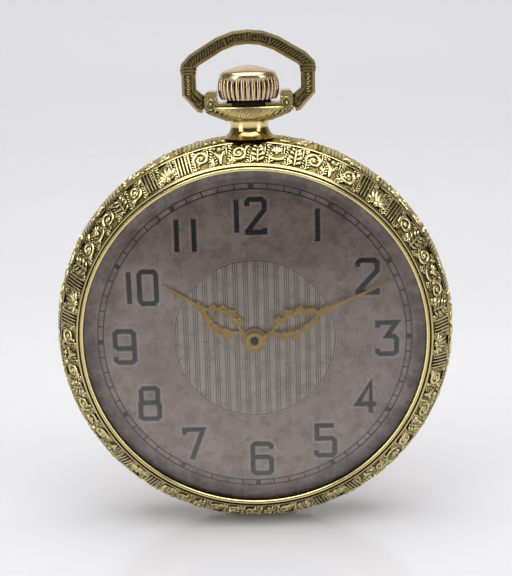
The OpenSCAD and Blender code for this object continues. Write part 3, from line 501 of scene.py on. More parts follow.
def motif_group():
    """Puts a motif from a collection on each point, turned and scaled by the point's attributes."""
    name = "Watch motifs on points"
    if name in bpy.data.node_groups:
        return bpy.data.node_groups[name]
    g = bpy.data.node_groups.new(name, "GeometryNodeTree")
    face = g.interface
    face.new_socket("Points", in_out="INPUT", socket_type="NodeSocketGeometry")
    face.new_socket("Motifs", in_out="INPUT", socket_type="NodeSocketCollection")
    size = face.new_socket("Motif size", in_out="INPUT", socket_type="NodeSocketFloat")
    size.default_value = 1.0
    face.new_socket("Material", in_out="INPUT", socket_type="NodeSocketMaterial")
    face.new_socket("Geometry", in_out="OUTPUT", socket_type="NodeSocketGeometry")
    gin, gout = g.nodes.new("NodeGroupInput"), g.nodes.new("NodeGroupOutput")
    info = g.nodes.new("GeometryNodeCollectionInfo")
    info.inputs["Separate Children"].default_value = True
    info.inputs["Reset Children"].default_value = True
    inst = g.nodes.new("GeometryNodeInstanceOnPoints")
    inst.inputs["Pick Instance"].default_value = True
    link = g.links.new
    link(gin.outputs["Points"], inst.inputs["Points"])
    link(gin.outputs["Motifs"], info.inputs["Collection"])
    link(info.outputs[0], inst.inputs["Instance"])
    for key, kind, socket in (("pick", "INT", "Instance Index"), ("turn", "FLOAT_VECTOR", "Rotation")):
        attr = g.nodes.new("GeometryNodeInputNamedAttribute")
        attr.data_type = kind
        attr.inputs["Name"].default_value = key
        link(attr.outputs["Attribute"], inst.inputs[socket])
    scale = g.nodes.new("GeometryNodeInputNamedAttribute")
    scale.data_type = "FLOAT_VECTOR"
    scale.inputs["Name"].default_value = "size"
    mul = g.nodes.new("ShaderNodeVectorMath")
    mul.operation = "SCALE"
    link(scale.outputs["Attribute"], mul.inputs[0])
    link(gin.outputs["Motif size"], mul.inputs["Scale"])
    link(mul.outputs[0], inst.inputs["Scale"])
    real = g.nodes.new("GeometryNodeRealizeInstances")
    mat = g.nodes.new("GeometryNodeSetMaterial")
    link(inst.outputs[0], real.inputs[0])
    link(real.outputs[0], mat.inputs["Geometry"])
    link(gin.outputs["Material"], mat.inputs["Material"])
    link(mat.outputs[0], gout.inputs[0])
    return g


def ring_group():
    """Repeats an item about an axis: Count copies, Step degrees apart from Start, turned about the axis
    through the origin and then moved by Centre.
    """
    name = "Watch ring array"
    if name in bpy.data.node_groups:
        return bpy.data.node_groups[name]
    g = bpy.data.node_groups.new(name, "GeometryNodeTree")
    face = g.interface
    face.new_socket("Item", in_out="INPUT", socket_type="NodeSocketGeometry")
    count = face.new_socket("Count", in_out="INPUT", socket_type="NodeSocketInt")
    count.default_value = 12
    step = face.new_socket("Step", in_out="INPUT", socket_type="NodeSocketFloat")
    step.default_value = 30.0
    start = face.new_socket("Start", in_out="INPUT", socket_type="NodeSocketFloat")
    start.default_value = 0.0
    axis = face.new_socket("Axis", in_out="INPUT", socket_type="NodeSocketVector")
    axis.default_value = (0, 1, 0)
    face.new_socket("Centre", in_out="INPUT", socket_type="NodeSocketVector")
    face.new_socket("Material", in_out="INPUT", socket_type="NodeSocketMaterial")
    face.new_socket("Geometry", in_out="OUTPUT", socket_type="NodeSocketGeometry")
    gin, gout = g.nodes.new("NodeGroupInput"), g.nodes.new("NodeGroupOutput")
    link = g.links.new
    line = g.nodes.new("GeometryNodeMeshLine")
    line.inputs["Offset"].default_value = (0, 0, 0)
    link(gin.outputs["Count"], line.inputs["Count"])
    index = g.nodes.new("GeometryNodeInputIndex")

    def calc(op, a, b):
        node = g.nodes.new("ShaderNodeMath")
        node.operation = op
        for i, item in enumerate((a, b)):
            if hasattr(item, "is_output"):
                link(item, node.inputs[i])
            else:
                node.inputs[i].default_value = item
        return node.outputs[0]

    angle = calc("ADD", calc("MULTIPLY", index.outputs[0], gin.outputs["Step"]), gin.outputs["Start"])
    turn = g.nodes.new("FunctionNodeAxisAngleToRotation")
    link(gin.outputs["Axis"], turn.inputs["Axis"])
    link(calc("MULTIPLY", angle, math.pi / 180), turn.inputs["Angle"])
    inst = g.nodes.new("GeometryNodeInstanceOnPoints")
    link(line.outputs[0], inst.inputs["Points"])
    link(gin.outputs["Item"], inst.inputs["Instance"])
    link(turn.outputs[0], inst.inputs["Rotation"])
    shift = g.nodes.new("GeometryNodeTranslateInstances")
    link(inst.outputs[0], shift.inputs["Instances"])
    link(gin.outputs["Centre"], shift.inputs["Translation"])
    shift.inputs["Local Space"].default_value = False
    real = g.nodes.new("GeometryNodeRealizeInstances")
    mat = g.nodes.new("GeometryNodeSetMaterial")
    link(shift.outputs[0], real.inputs[0])
    link(real.outputs[0], mat.inputs["Geometry"])
    link(gin.outputs["Material"], mat.inputs["Material"])
    link(mat.outputs[0], gout.inputs[0])
    return g


def bake_nodes(carrier, group, values, name, angle=40):
    """Runs a node group on carrier and returns its result as a plain mesh object."""
    mod = carrier.modifiers.new("Build", "NODES")
    mod.node_group = group
    for item in group.interface.items_tree:
        if item.in_out == "INPUT" and item.name in values:
            mod[item.identifier] = values[item.name]
    carrier.update_tag()
    bpy.context.view_layer.update()
    done = carrier.evaluated_get(bpy.context.evaluated_depsgraph_get())
    mesh = bpy.data.meshes.new_from_object(done)
    if not mesh.polygons:
        raise RuntimeError(f"{name} came out empty")
    mesh.name = name
    for attr in ("pick", "turn", "size"):
        if attr in mesh.attributes:
            mesh.attributes.remove(mesh.attributes[attr])
    mesh.materials.clear()
    mesh.materials.append(values["Material"])
    mesh.polygons.foreach_set("material_index", np.zeros(len(mesh.polygons), np.int32))
    mesh.shade_smooth()
    mesh.set_sharp_from_angle(angle=math.radians(angle))
    obj = bpy.data.objects.new(name, mesh)
    bpy.context.scene.collection.objects.link(obj)
    old = carrier.data
    bpy.data.objects.remove(carrier)
    bpy.data.meshes.remove(old)
    return obj


def ring_of(item, name, count, step, material, start=0.0, axis=(0, 1, 0), centre=(0, 0, 0), **kw):
    """Bag item, drawn about the axis, repeated by the ring array."""
    carrier = item.piece(name + " item", material)
    obj = bake_nodes(carrier, ring_group(), {
        "Count": count, "Step": step, "Start": start, "Axis": axis, "Centre": centre,
        "Material": material}, name)
    finish_piece(obj, kw.get("body"), kw.get("nodes", ()))
    return obj


def motifs_on(points, motifs, name, material, size=1.0, body=None, nodes=()):
    """points are (place, along, across, out, pick, scale x, scale y) in watch millimetres."""
    folder = bpy.data.collections.new(name + " motifs")
    bpy.context.scene.collection.children.link(folder)
    made = []
    for i, bag in enumerate(motifs):
        v = np.concatenate(bag.v) * MM
        mesh = bpy.data.meshes.new(f"{name} {i:02d}")
        mesh.from_pydata(v.tolist(), [], [list(f) for f in bag.f])
        bm = bmesh.new()
        bm.from_mesh(mesh)
        bmesh.ops.recalc_face_normals(bm, faces=bm.faces)
        bm.to_mesh(mesh)
        bm.free()
        obj = bpy.data.objects.new(f"{name} {i:02d}", mesh)
        folder.objects.link(obj)
        made.append(obj)
    mesh = bpy.data.meshes.new(name + " points")
    mesh.from_pydata(to_row([p[0] for p in points]).tolist(), [], [])
    turn, scale = [], []
    for p in points:
        cols = [Vector(to_dir(d)).normalized() for d in p[1:4]]
        m = Matrix(cols).transposed()
        turn.append(m.to_euler("XYZ"))
        scale.append((p[5], p[6], 1.0))
    mesh.attributes.new("pick", "INT", "POINT").data.foreach_set("value", [p[4] for p in points])
    for key, rows in (("turn", turn), ("size", scale)):
        mesh.attributes.new(key, "FLOAT_VECTOR", "POINT").data.foreach_set(
            "vector", np.array([tuple(r) for r in rows], np.float32).ravel())
    carrier = bpy.data.objects.new(name + " carrier", mesh)
    bpy.context.scene.collection.objects.link(carrier)
    obj = bake_nodes(carrier, motif_group(), {
        "Motifs": folder, "Motif size": size, "Material": material}, name)
    for o in made:
        bpy.data.objects.remove(o)
    bpy.data.collections.remove(folder)
    bm = bmesh.new()
    bm.from_mesh(obj.data)
    bmesh.ops.recalc_face_normals(bm, faces=bm.faces)
    bm.to_mesh(obj.data)
    bm.free()
    finish_piece(obj, body, nodes)
    return obj


def to_dir(d):
    return (d[0], -d[2], d[1])


# Motifs of the engraving, in a patch about 2 mm wide: x along the band, y across it, z out


def spiral_points(radius, turns, start=0.0, inner=0.12, steps=30, at=(0, 0), hand=1):
    a = np.linspace(0, turns * 2 * math.pi, steps)
    r = inner + (radius - inner) * a / a[-1]
    return np.stack([at[0] + r * np.cos(start + hand * a), at[1] + r * np.sin(start + hand * a),
                     np.zeros(steps)], 1)


def scroll_motif(hand=1):
    """A scroll with a bead in its eye and a leaf that leaves its back."""
    bag = Bag()
    p = spiral_points(0.72, 1.55, 0.4, 0.16, 34, hand=hand)
    w = np.linspace(0.16, 0.34, 34)
    w[-4:] *= [0.9, 0.7, 0.45, 0.15]
    bag.add(*sweep(p, w, w * 1.1, sides=8))
    bag.add(*ball((0, 0, 0.02), 0.21, 0.9))
    petal(bag, (0.62, -0.35 * hand), (1.05, -0.85 * hand), 0.3)
    petal(bag, (-0.35, 0.62 * hand), (-0.95, 0.78 * hand), 0.26)
    return bag


def petal(bag, a, b, width, high=0.34, bend=0.15):
    """A leaf-shaped boss from a to b."""
    a, b = np.array([*a, 0.0]), np.array([*b, 0.0])
    side = np.array([-(b - a)[1], (b - a)[0], 0]) * bend
    t = np.linspace(0, 1, 9)[:, None]
    p = (1 - t) ** 2 * a + 2 * t * (1 - t) * ((a + b) / 2 + side) + t * t * b
    w = width * np.sin(math.pi * (0.08 + 0.9 * t[:, 0])) ** 0.8
    bag.add(*sweep(p, w, w * high / width + 0.02, sides=8))
    return bag


def leaf_motif():
    """An acanthus leaf: lobes that fan out on both sides of a rib."""
    bag = Bag()
    petal(bag, (0, -0.95), (0, 0.95), 0.26, 0.42, 0)
    for s in (-1, 1):
        for y, reach in ((-0.75, 0.62), (-0.3, 0.72), (0.15, 0.62), (0.5, 0.42)):
            petal(bag, (s * 0.05, y), (s * reach, y + 0.42), 0.26, 0.34, -0.2 * s)
    return bag


def bud_motif():
    bag = Bag()
    petal(bag, (0, -0.9), (0, 0.3), 0.4, 0.4, 0)
    for s in (-1, 1):
        petal(bag, (0, -0.7), (s * 0.62, 0.35), 0.32, 0.36, 0.25 * s)
    bag.add(*ball((0, 0.55, 0.02), 0.24, 0.9))
    for s in (-1, 1):
        bag.add(*ball((s * 0.42, 0.72, 0.0), 0.15, 0.9))
    return bag


def bars_motif():
    """Upright bars, close together."""
    bag = Bag()
    for x in (-0.72, -0.36, 0, 0.36, 0.72):
        p = np.stack([np.full(7, x), np.linspace(-1.0, 1.0, 7), np.zeros(7)], 1)
        w = np.array([0.1, 0.24, 0.27, 0.27, 0.27, 0.24, 0.1])
        bag.add(*sweep(p, w, w * 1.2, sides=8))
    return bag


def rosette_motif():
    """Half a rosette: petals about a bead at the band's edge."""
    bag = Bag()
    for i in range(7):
        a = math.radians(12 + 26 * i)
        petal(bag, (0.28 * math.cos(a), -0.75 + 0.28 * math.sin(a)),
              (1.1 * math.cos(a), -0.75 + 1.45 * math.sin(a)), 0.34, 0.36, 0)
    bag.add(*ball((0, -0.72, 0.02), 0.26, 0.9))
    return bag


def flower_motif():
    """A crescent with petals in it."""
    bag = Bag()
    a = np.radians(np.linspace(200, 340, 16))
    p = np.stack([0.85 * np.cos(a), 0.35 + 0.95 * np.sin(a), np.zeros(16)], 1)
    w = 0.3 * np.sin(np.linspace(0.12, math.pi - 0.12, 16))
    bag.add(*sweep(p, w, w, sides=8))
    for i in range(5):
        b = math.radians(30 + 30 * i)
        petal(bag, (0.12 * math.cos(b), 0.1), (0.66 * math.cos(b), 0.1 + 0.78 * math.sin(b)), 0.26)
    bag.add(*ball((0, 0.02, 0.02), 0.17, 0.9))
    return bag


def fan_motif():
    """Three small leaves that fill the band's edges."""
    bag = Bag()
    for x, y in ((-0.5, 0.12), (0, 0.38), (0.5, 0.12)):
        petal(bag, (x * 0.15, -0.34), (x, y), 0.26, 0.3, -0.3 * x)
    return bag


SCROLL, SCROLL_BACK, LEAF, BUD, BARS, ROSETTE, FLOWER, FAN = range(8)


def motif_set():
    return [scroll_motif(1), scroll_motif(-1), leaf_motif(), bud_motif(), bars_motif(),
            rosette_motif(), flower_motif(), fan_motif()]


# The motifs on one side of the pattern's axis, evenly spaced; the other side mirrors them
HALF_PATTERN = [LEAF, SCROLL, BUD, SCROLL_BACK, BARS, ROSETTE, BARS, SCROLL, LEAF, SCROLL_BACK, FLOWER,
                SCROLL, LEAF, BARS, ROSETTE, BARS, SCROLL_BACK, BUD, SCROLL, LEAF, SCROLL_BACK, FLOWER,
                SCROLL, BUD, BARS, ROSETTE, BARS, LEAF, SCROLL_BACK, BUD, SCROLL]


# Settings


def length(name, description, mm, low, high):
    """A length setting, held in metres and given here in millimetres."""
    return bpy.props.FloatProperty(name=name, description=description, default=mm * MM, min=low * MM,
                                   max=high * MM, subtype="DISTANCE", unit="LENGTH", precision=5)


def angle(name, description, degrees):
    return bpy.props.FloatProperty(name=name, description=description, default=math.radians(degrees),
                                   min=-2 * math.pi, max=2 * math.pi, subtype="ANGLE", unit="ROTATION")


def factor(name, description, default, high):
    return bpy.props.FloatProperty(name=name, description=description, default=default, min=0, max=high,
                                   subtype="FACTOR")


class WatchSettings(bpy.types.PropertyGroup):
    """Settings of the watch's pieces and of its stage"""
    ring_r: length("Centre ring", "Radius of the dial's striped centre", 8.83, 6, 11)
    stripe_pitch: length("Stripe pitch", "Distance between the dial's broad stripes", 1.12, 0.4, 3)
    numeral_height: length("Numeral height", "Height of the numerals", 4.1, 2, 5)
    numeral_stroke: length("Numeral stroke", "Width of the numerals' strokes", 0.52, 0.2, 0.8)
    track_r: length("Minute track", "Radius of the minute track's outer line", 17.34, 15, 18)
    track_w: length("Track width", "Distance between the track's two lines", 0.6, 0.3, 1)
    ticks: bpy.props.IntProperty(name="Minute ticks", description="Ticks around the track", default=60,
                                 min=12, max=240)
    ribs: bpy.props.IntProperty(name="Crown ribs", description="Ribs around the crown", default=34, min=12,
                                max=60)
    pattern_axis: angle("Pattern axis", "Clock angle of the engraving's middle", 8)
    motif_size: factor("Motif size", "Scale of the bezel's motifs", 1.0, 1.5)
    minute_at: angle("Minute hand", "Where the minute hand points, clockwise from twelve", 66.8)
    hour_at: angle("Hour hand", "Where the hour hand points, clockwise from twelve", 303.4)
    glass_gloss: factor("Crystal gloss", "How strongly the crystal mirrors the room", 1.0, 4)
    light: factor("Light", "Scales every lamp", 1.0, 4)


class WatchOperator:
    """What the watch's operators share"""
    bl_options = {"REGISTER", "UNDO"}

    def settings(self, context):
        if not MATS:
            raise RuntimeError("the materials are not made yet")
        return context.scene.watch


# Case


SLOPE = np.array([CASE_R - 2.66, 1.0]), np.array([CASE_R - 0.64, -1.2])
BAND = np.array([CASE_R - 0.5, JOIN_Z - 0.12]), np.array([CASE_R - 0.01, -3.05])


def slope_point(ends, t, bulge=0.0, lift=0.0):
    """(r, z) between a slope's two ends, and the way out of it."""
    a, b = ends
    out = np.array([(a - b)[1], (b - a)[0]])
    out = out / np.linalg.norm(out)
    return a + (b - a) * t + out * (bulge * math.sin(math.pi * t) + lift), out


def slope_spot(ends, turn, pick, t, sx, sy, flip=1, bulge=0.0, lift=0.0):
    """A motif's point at a clock angle in radians; flip turns it half round."""
    (r, z), out = slope_point(ends, t, bulge, lift)
    rad = np.array([math.sin(turn), math.cos(turn), 0])
    along = np.array([math.cos(turn), -math.sin(turn), 0]) * flip
    n = rad * out[0] + np.array([0, 0, out[1]])
    return rad * r + np.array([0, 0, z]), along, np.cross(n, along), n, pick, sx, sy


class WATCH_OT_bezel(WatchOperator, bpy.types.Operator):
    """Make the bezel: a bright rim, and a sunk slope filled with raised scrolls and leaves"""
    bl_idname = "watch.bezel"
    bl_label = "Bezel"

    def execute(self, context):
        s = self.settings(context)
        o, top = 18.75, 1.3
        profile = [(o, 0.35), (o, 0.76), (o + 0.27, 0.76), (o + 0.27, 1.1), (o, 1.1), (o + 0.02, top - 0.1),
                   (o + 0.1, top - 0.01), (o + 0.22, top + 0.04), (o + 0.34, top + 0.02),
                   (o + 0.44, top - 0.08),
                   (o + 0.48, top - 0.2), (o + 0.54, top - 0.2), (o + 0.6, top - 0.08),
                   (o + 0.68, top - 0.06),
                   (o + 0.76, top - 0.14), (o + 0.8, top - 0.26)]
        mats = [1 if i in (4, 9, 10, 14) else 0 for i in range(len(profile))]
        for t, lift, mat in ((0.0, 0, 0), (0.03, -0.14, 1), (0.15, -0.16, 1), (0.3, -0.16, 1),
                             (0.45, -0.16, 1),
                             (0.6, -0.16, 1), (0.75, -0.16, 1), (0.88, -0.16, 1), (0.945, -0.14, 1),
                             (0.955, 0.02, 0), (0.98, 0.04, 0), (1, 0, 0)):
            profile.append(tuple(slope_point(SLOPE, t, 0.14, lift)[0]))
            mats.append(mat)
        low = JOIN_Z + 0.03
        profile += [(CASE_R - 0.63, low), (19.55, low), (19.55, 0.35)]
        mats += [0, 0, 0]
        bag = Bag()
        bag.add(*lathe(profile, 360))
        bag.m = [mats[i % len(profile)] for i in range(len(bag.f))]
        bag.piece("bezel_ring", [MATS["gold"], MATS["ground"]], body="bezel_body", nodes=["bezel"],
                  slot="gold_case")
        count = 2 * len(HALF_PATTERN) + 2
        step = 2 * math.pi / count
        picks = [FLOWER, *HALF_PATTERN, FLOWER]
        points = []
        for i in range(count):
            k = min(i, count - i)
            pick = picks[k]
            if i > count / 2 and pick in (SCROLL, SCROLL_BACK):
                pick = SCROLL + SCROLL_BACK - pick
            turn = s.pattern_axis + step * i
            points.append(slope_spot(SLOPE, turn, pick, 0.5, 1.0 if pick == BARS else 1.26, 1.38, 1, 0.14,
                                     -0.13))
            # Leaves and fans fill the ground between two motifs
            for side in (-1, 1):
                between = turn + step * (0.5 + 0.12 * side)
                points.append(slope_spot(SLOPE, between, LEAF, 0.5 - 0.2 * side, 0.85, 0.8, side, 0.14,
                                         -0.17))
            for t, flip in ((0.12, 1), (0.86, -1)):
                points.append(slope_spot(SLOPE, turn + step / 2, FAN, t, 0.8, 0.85, flip, 0.14, -0.13))
        motifs_on(points, motif_set(), "bezel_relief", MATS["relief"], s.motif_size,
                  body="bezel_body")
        return {"FINISHED"}


class WATCH_OT_band(WatchOperator, bpy.types.Operator):
    """Finish the case middle and the back, and set leaves and scrolls around the band"""
    bl_idname = "watch.band"
    bl_label = "Case band and back"

    def execute(self, context):
        s = self.settings(context)
        give("case_middle", MATS["band"])
        give("back_cover", MATS["back"])
        lower = BAND[1] - [0.0, 0.18], np.array([CASE_R - 0.34, SNAP_Z + 0.08])
        order = [LEAF, SCROLL, FLOWER, SCROLL_BACK, LEAF, BARS, ROSETTE, BARS]
        count = 72
        points = []
        for i in range(count):
            turn = 2 * math.pi / count * i
            if abs(math.sin(turn)) < 0.13 and math.cos(turn) > 0:
                continue
            points.append(slope_spot(BAND, turn, order[i % len(order)], 0.5, 1.15, 0.95, lift=-0.02))
            points.append(slope_spot(lower, turn, BUD if i % 2 else FAN, 0.5, 0.9, 0.42))
        motifs_on(points, motif_set(), "band_relief", MATS["relief"], s.motif_size, body="watch")
        return {"FINISHED"}


# Pendant, bow and crown


def about_stem(profile, steps=96, closed=True):
    """A profile of (r, height above the dial's centre) turned about the stem."""
    v, f = lathe(profile, steps, closed)
    return np.stack([v[:, 0], v[:, 2], STEM_Z + v[:, 1]], 1), f


def loft(rings):
    """Vertices and faces of a closed shape through rings of the same number of points, joined end to end."""
    n, k = len(rings[0]), len(rings)
    v = np.concatenate(rings)
    f = [(i * n + j, i * n + (j + 1) % n, (i + 1) % k * n + (j + 1) % n, (i + 1) % k * n + j)
         for i in range(k) for j in range(n)]
    return v, f


class WATCH_OT_pendant(WatchOperator, bpy.types.Operator):
    """Dress the pendant: a boat-shaped collar below the crown, notches on it and scrolls on its ears"""
    bl_idname = "watch.pendant"
    bl_label = "Pendant"

    def execute(self, context):
        self.settings(context)
        give("pendant", MATS["pendant"])
        y = PIVOT_Y
        # Rows up the collar: height above the pivots, half length, half depth and roundness of its plan
        rows = [(-1.86, 1.95, 1.95, 2.0), (-1.72, 2.5, 2.25, 2.0), (-1.42, 3.3, 2.6, 2.0),
                (-1.0, 4.0, 2.78, 2.1),
                (-0.55, 4.5, 2.84, 2.2), (-0.3, 4.62, 2.82, 2.2), (-0.2, 4.55, 2.72, 2.2),
                (-0.22, 4.3, 2.5, 2.2),
                (-0.75, 3.7, 2.35, 2.1), (-1.1, 1.95, 1.95, 2.0)]
        turn = np.linspace(0, 2 * math.pi, 129)[:-1]
        c, q = np.cos(turn), np.sin(turn)
        rings = []
        for up, long, deep, power in rows:
            x = long * np.sign(c) * np.abs(c) ** (2 / power)
            z = deep * np.sign(q) * np.abs(q) ** (2 / power)
            # The foot climbs towards the ears
            rise = 0.95 * max(0.0, min(1.0, (-0.3 - up) / 1.4)) * np.clip((np.abs(x) - 1.6) / 3, 0,
                    1) ** 1.4
            rings.append(np.stack([x, y + up + rise, STEM_Z + z], 1))
        bag = Bag()
        bag.add(*loft(rings))
        # Rows six and up, the well inside the collar's rim, take the near-black material: painted shade
        bag.m = [1 if k // 128 > 5 else 0 for k in range(len(bag.f))]
        bag.piece("collar_saddle", [MATS["dark gold"], MATS["hole"]], body="watch", slot="gold_dark")
        bag = Bag()
        neck = [(2.9, y - 3.62), (2.62, y - 3.42), (2.3, y - 3.1), (2.1, y - 2.7), (2.02, y - 2.3),
                (2.04, y - 2.05),
                (2.14, y - 1.8), (1.75, y - 1.75), (1.75, y - 3.62)]
        bag.add(*about_stem(neck))
        bag.piece("neck_sleeve", MATS["neck gold"], body="watch", slot="gold_dark")
        # A near-black ring under the crown: painted shade in the gap between crown and collar
        bag = Bag()
        bag.add(*about_stem([(1.3, y - 1.0), (2.35, y - 1.0), (2.4, y + 0.3), (2.3, y + 0.38),
                             (1.3, y + 0.38)]))
        bag.piece("crown_seat", MATS["hole"], body="watch", slot="gold_dark")
        notch = Bag()
        t = np.linspace(0, 1, 7)
        for k in range(-6, 7):
            x = 0.6 * k
            for face in (-1, 1):
                a = x + face * 0.28 * (t - 0.5) * 2
                up = -1.3 + 0.85 * t + 0.06 * abs(x)
                long = np.interp(up, [r[0] for r in rows[:6]], [r[1] for r in rows[:6]])
                deep = np.interp(up, [r[0] for r in rows[:6]], [r[2] for r in rows[:6]])
                z = deep * np.sqrt(np.clip(1 - (a / long) ** 2, 0.02, 1)) - 0.02
                path = np.stack([a, y + up, STEM_Z + face * z], 1)
                wide = 0.34 * np.sin(math.pi * (0.12 + 0.78 * t))
                notch.add(*sweep(path, wide, wide, sides=8))
        notch.piece("collar_notches", MATS["relief"], body="watch", slot="gold_dark")
        points = []
        for face in (-1, 1):
            for side in (-1, 1):
                spot = (side * 4.05, y + 0.1, STEM_Z + face * 1.6)
                points.append((spot, (face, 0, 0), (0, 1, 0), (0, 0, face),
                               SCROLL if side * face > 0 else SCROLL_BACK, 0.72, 0.95))
                for x, low in ((2.9, -1.0), (3.6, -0.85), (4.2, -0.7)):
                    up = np.array([side * 0.45, 1, 0]) / math.hypot(0.45, 1)
                    points.append(((side * x, y + low, STEM_Z + face * 1.6), np.cross(up, (0, 0, face)), up,
                                   (0, 0, face), FAN, 0.6, 0.7))
                points.append(((side * 4.7, y + 0.35, STEM_Z + face * 0.8), (0, 0, -side * 1.0), (0, 1, 0),
                               (side, 0, 0), FAN, 0.6, 0.8))
        motifs_on(points, motif_set(), "collar_relief", MATS["relief"], 1.0, body="watch")
        return {"FINISHED"}


# Right half of the bow's centre line above the pivots, from the ear to the top
BOW_HALF = [(4.84, 0.0), (5.12, 0.06), (6.37, 1.3), (6.37, 4.02), (5.75, 4.68), (3.0, 6.3), (1.45, 6.86),
            (0, 7.0)]


def faceted(w, h, face, side, grow=0.0):
    """The bar's eight-sided section, w by h each way; face and side are the half widths left flat."""
    a, b, c, d = face, h + grow, w + grow, side + grow
    return [(a, b), (-a, b), (-c, d), (-c, -d), (-a, -b), (a, -b), (c, -d), (c, d)]


class WATCH_OT_bow(WatchOperator, bpy.types.Operator):
    """Make the bow: a sharp-cornered faceted bar with a key pattern, roping and beads on both faces"""
    bl_idname = "watch.bow"
    bl_label = "Bow"

    def execute(self, context):
        self.settings(context)
        half = np.array(BOW_HALF)
        p = np.concatenate([half, half[-2::-1] * [-1, 1]])
        path = p + [0, PIVOT_Y]
        n = len(p)
        w, h = 0.75, 1.1
        wide = np.ones(n)
        wide[[0, -1]] = 1.22
        wide[[1, -2]] = 1.15
        bag = Bag()
        flat_face, flat_side = 0.64 * w, 0.55 * h
        bag.add(*mitred(path, faceted(w, h, flat_face, flat_side), STEM_Z, wide))
        bag.m = [1 if q % 8 in (0, 4) else 0 for q in range(len(bag.f))]
        for a, b in ((0.52, 0.64), (-0.64, -0.52)):
            for face in (-1, 1):
                bag.add(*mitred(path, [(a * w, face * (h - 0.1)), (b * w, face * (h - 0.1)),
                                       (b * w, face * (h + 0.06)),
                                       (a * w, face * (h + 0.06))], STEM_Z, wide))
        for side in (-1, 1):
            pin = np.array([(side * 4.12, PIVOT_Y, STEM_Z), (side * 5.0, PIVOT_Y, STEM_Z)])
            bag.add(*sweep(pin, 1.0, 1.0, sides=24))
            for y, grow in ((3.35, 0.08), (3.66, 0.13), (3.97, 0.08)):
                ring = faceted(w, h, flat_face, flat_side, grow)
                low, high = PIVOT_Y + y - 0.11, PIVOT_Y + y + 0.11
                at = side * 6.37
                bag.add(*mitred([(at, low), (at, PIVOT_Y + y), (at, high)], ring, STEM_Z, [0.97, 1, 0.97]))
            # Grooves between ridges down the lower diagonals
            for off in (-0.42, 0, 0.42):
                for face in (-1, 1):
                    u = np.array([1.25, 1.24]) / math.hypot(1.25, 1.24)
                    v = np.array([-u[1], u[0]]) * off
                    a, b = np.array([5.3, 0.22]) + v, np.array([6.15, 1.06]) + v
                    q = np.array([(side * x, PIVOT_Y + y, STEM_Z + face * 1.08) for x,
                                  y in (a, a * 0.7 + b * 0.3, a * 0.3 + b * 0.7, b)])
                    bag.add(*sweep(q, [0.1, 0.26, 0.26, 0.1], 0.26, sides=8))
        bag.piece("bow_bar", [MATS["bow gold"], MATS["ground"]], body="bow_body", nodes=["bow"],
                  slot="gold_dark", angle=25)
        key, bar, rope, curl = Bag(), Bag(), Bag(), Bag()
        key.add(*strip([(-0.4, -0.33), (-0.4, 0.33), (0.3, 0.33), (0.3, -0.14), (-0.1, -0.14),
                        (-0.1, 0.1)], 0.12, -0.05, 0.1))
        bar.add(*strip([(0, -0.42), (0, 0.42)], 0.22, -0.05, 0.16))
        rope.add(*strip([(-0.16, -0.28), (0.16, 0.28)], 0.14, -0.05, 0.09))
        q = spiral_points(0.24, 1.2, 0.5, 0.06, 16)
        curl.add(*sweep(q, 0.13, 0.2, sides=6))
        seg = np.linalg.norm(np.diff(p, axis=0), axis=1)
        run = np.concatenate([[0], np.cumsum(seg)])
        middle = run[-1] / 2
        marks = [(side * d, 1) for side in (-1, 1) for d in (0.17, 2.42)]
        marks += [(side * (0.82 + 0.92 * i), 0) for side in (-1, 1) for i in range(2)]
        marks += [(side * (2.74 + 0.33 * i), 2) for side in (-1, 1) for i in range(13)]
        marks += [(side * (8.35 + 0.5 * i), 3) for side in (-1, 1) for i in range(4)]
        points = []
        for face in (-1, 1):
            for d, pick in marks:
                x, y = np.interp(middle + d, run, p[:, 0]), np.interp(middle + d, run, p[:, 1])
                i = min(max(int(np.searchsorted(run, middle + d)) - 1, 0), n - 2)
                t = np.append((p[i + 1] - p[i]) / seg[i], 0) * face
                if d < 0:
                    t = -t
                points.append(((x, PIVOT_Y + y, STEM_Z + face * h), t, np.cross((0, 0, face), t),
                               (0, 0, face), pick, 1, 1))
        motifs_on(points, [key, bar, rope, curl], "bow_key_pattern", MATS["bow gold"], 1.0,
                  body="bow_body")
        return {"FINISHED"}


class WATCH_OT_crown(WatchOperator, bpy.types.Operator):
    """Make the crown: a low dome over a ring of rounded ribs that curve in at both ends"""
    bl_idname = "watch.crown"
    bl_label = "Crown"

    def execute(self, context):
        s = self.settings(context)
        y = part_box("crown")[0].z / MM
        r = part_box("crown")[1].x / MM
        profile = [(1.7, 0), (r - 0.8, 0), (r - 0.52, 0.08), (r - 0.4, 0.3), (r - 0.3, 0.8),
                   (r - 0.27, 1.35),
                   (r - 0.27, 1.9), (r - 0.2, 2.2), (r - 0.16, 2.4), (r - 0.2, 2.62), (r - 0.34, 2.84),
                   (r - 0.56, 2.98),
                   (r - 0.85, 3.08), (r - 1.25, 3.22), (r - 1.8, 3.38), (r - 2.4, 3.53), (r - 2.9, 3.61),
                   (0.01, 3.65), (0.01, 2.2), (0.6, 2.2), (0.6, 1.2), (1.7, 1.2)]
        bag = Bag()
        bag.add(*about_stem([(a, y + b) for a, b in profile], 144))
        bag.piece("crown_body", MATS["crown gold"], body="crown_body", nodes=["crown"], slot="gold_dark",
                  angle=40)
        rib = Bag()
        t = np.linspace(0, 1, 13)
        z = r - 0.5 + 0.34 * np.sin(math.pi * (0.05 + 0.8 * t)) ** 0.6 + DIAL_Y / MM
        path = np.stack([np.zeros(13), y + 0.1 + 2.2 * t, z], 1)
        w = 0.5 * np.sin(math.pi * (0.06 + 0.86 * t)) ** 0.3
        rib.add(*sweep(path, w, w * 0.95, up=(0, 0, 1), sides=12))
        ring_of(rib, "crown_ribs", s.ribs, 360 / s.ribs, MATS["crown gold"], axis=(0, 0, 1),
                centre=(0, DIAL_Y - STEM_Z * MM, 0), body="crown_body", slot="gold_dark")
        return {"FINISHED"}


# Dial and hands

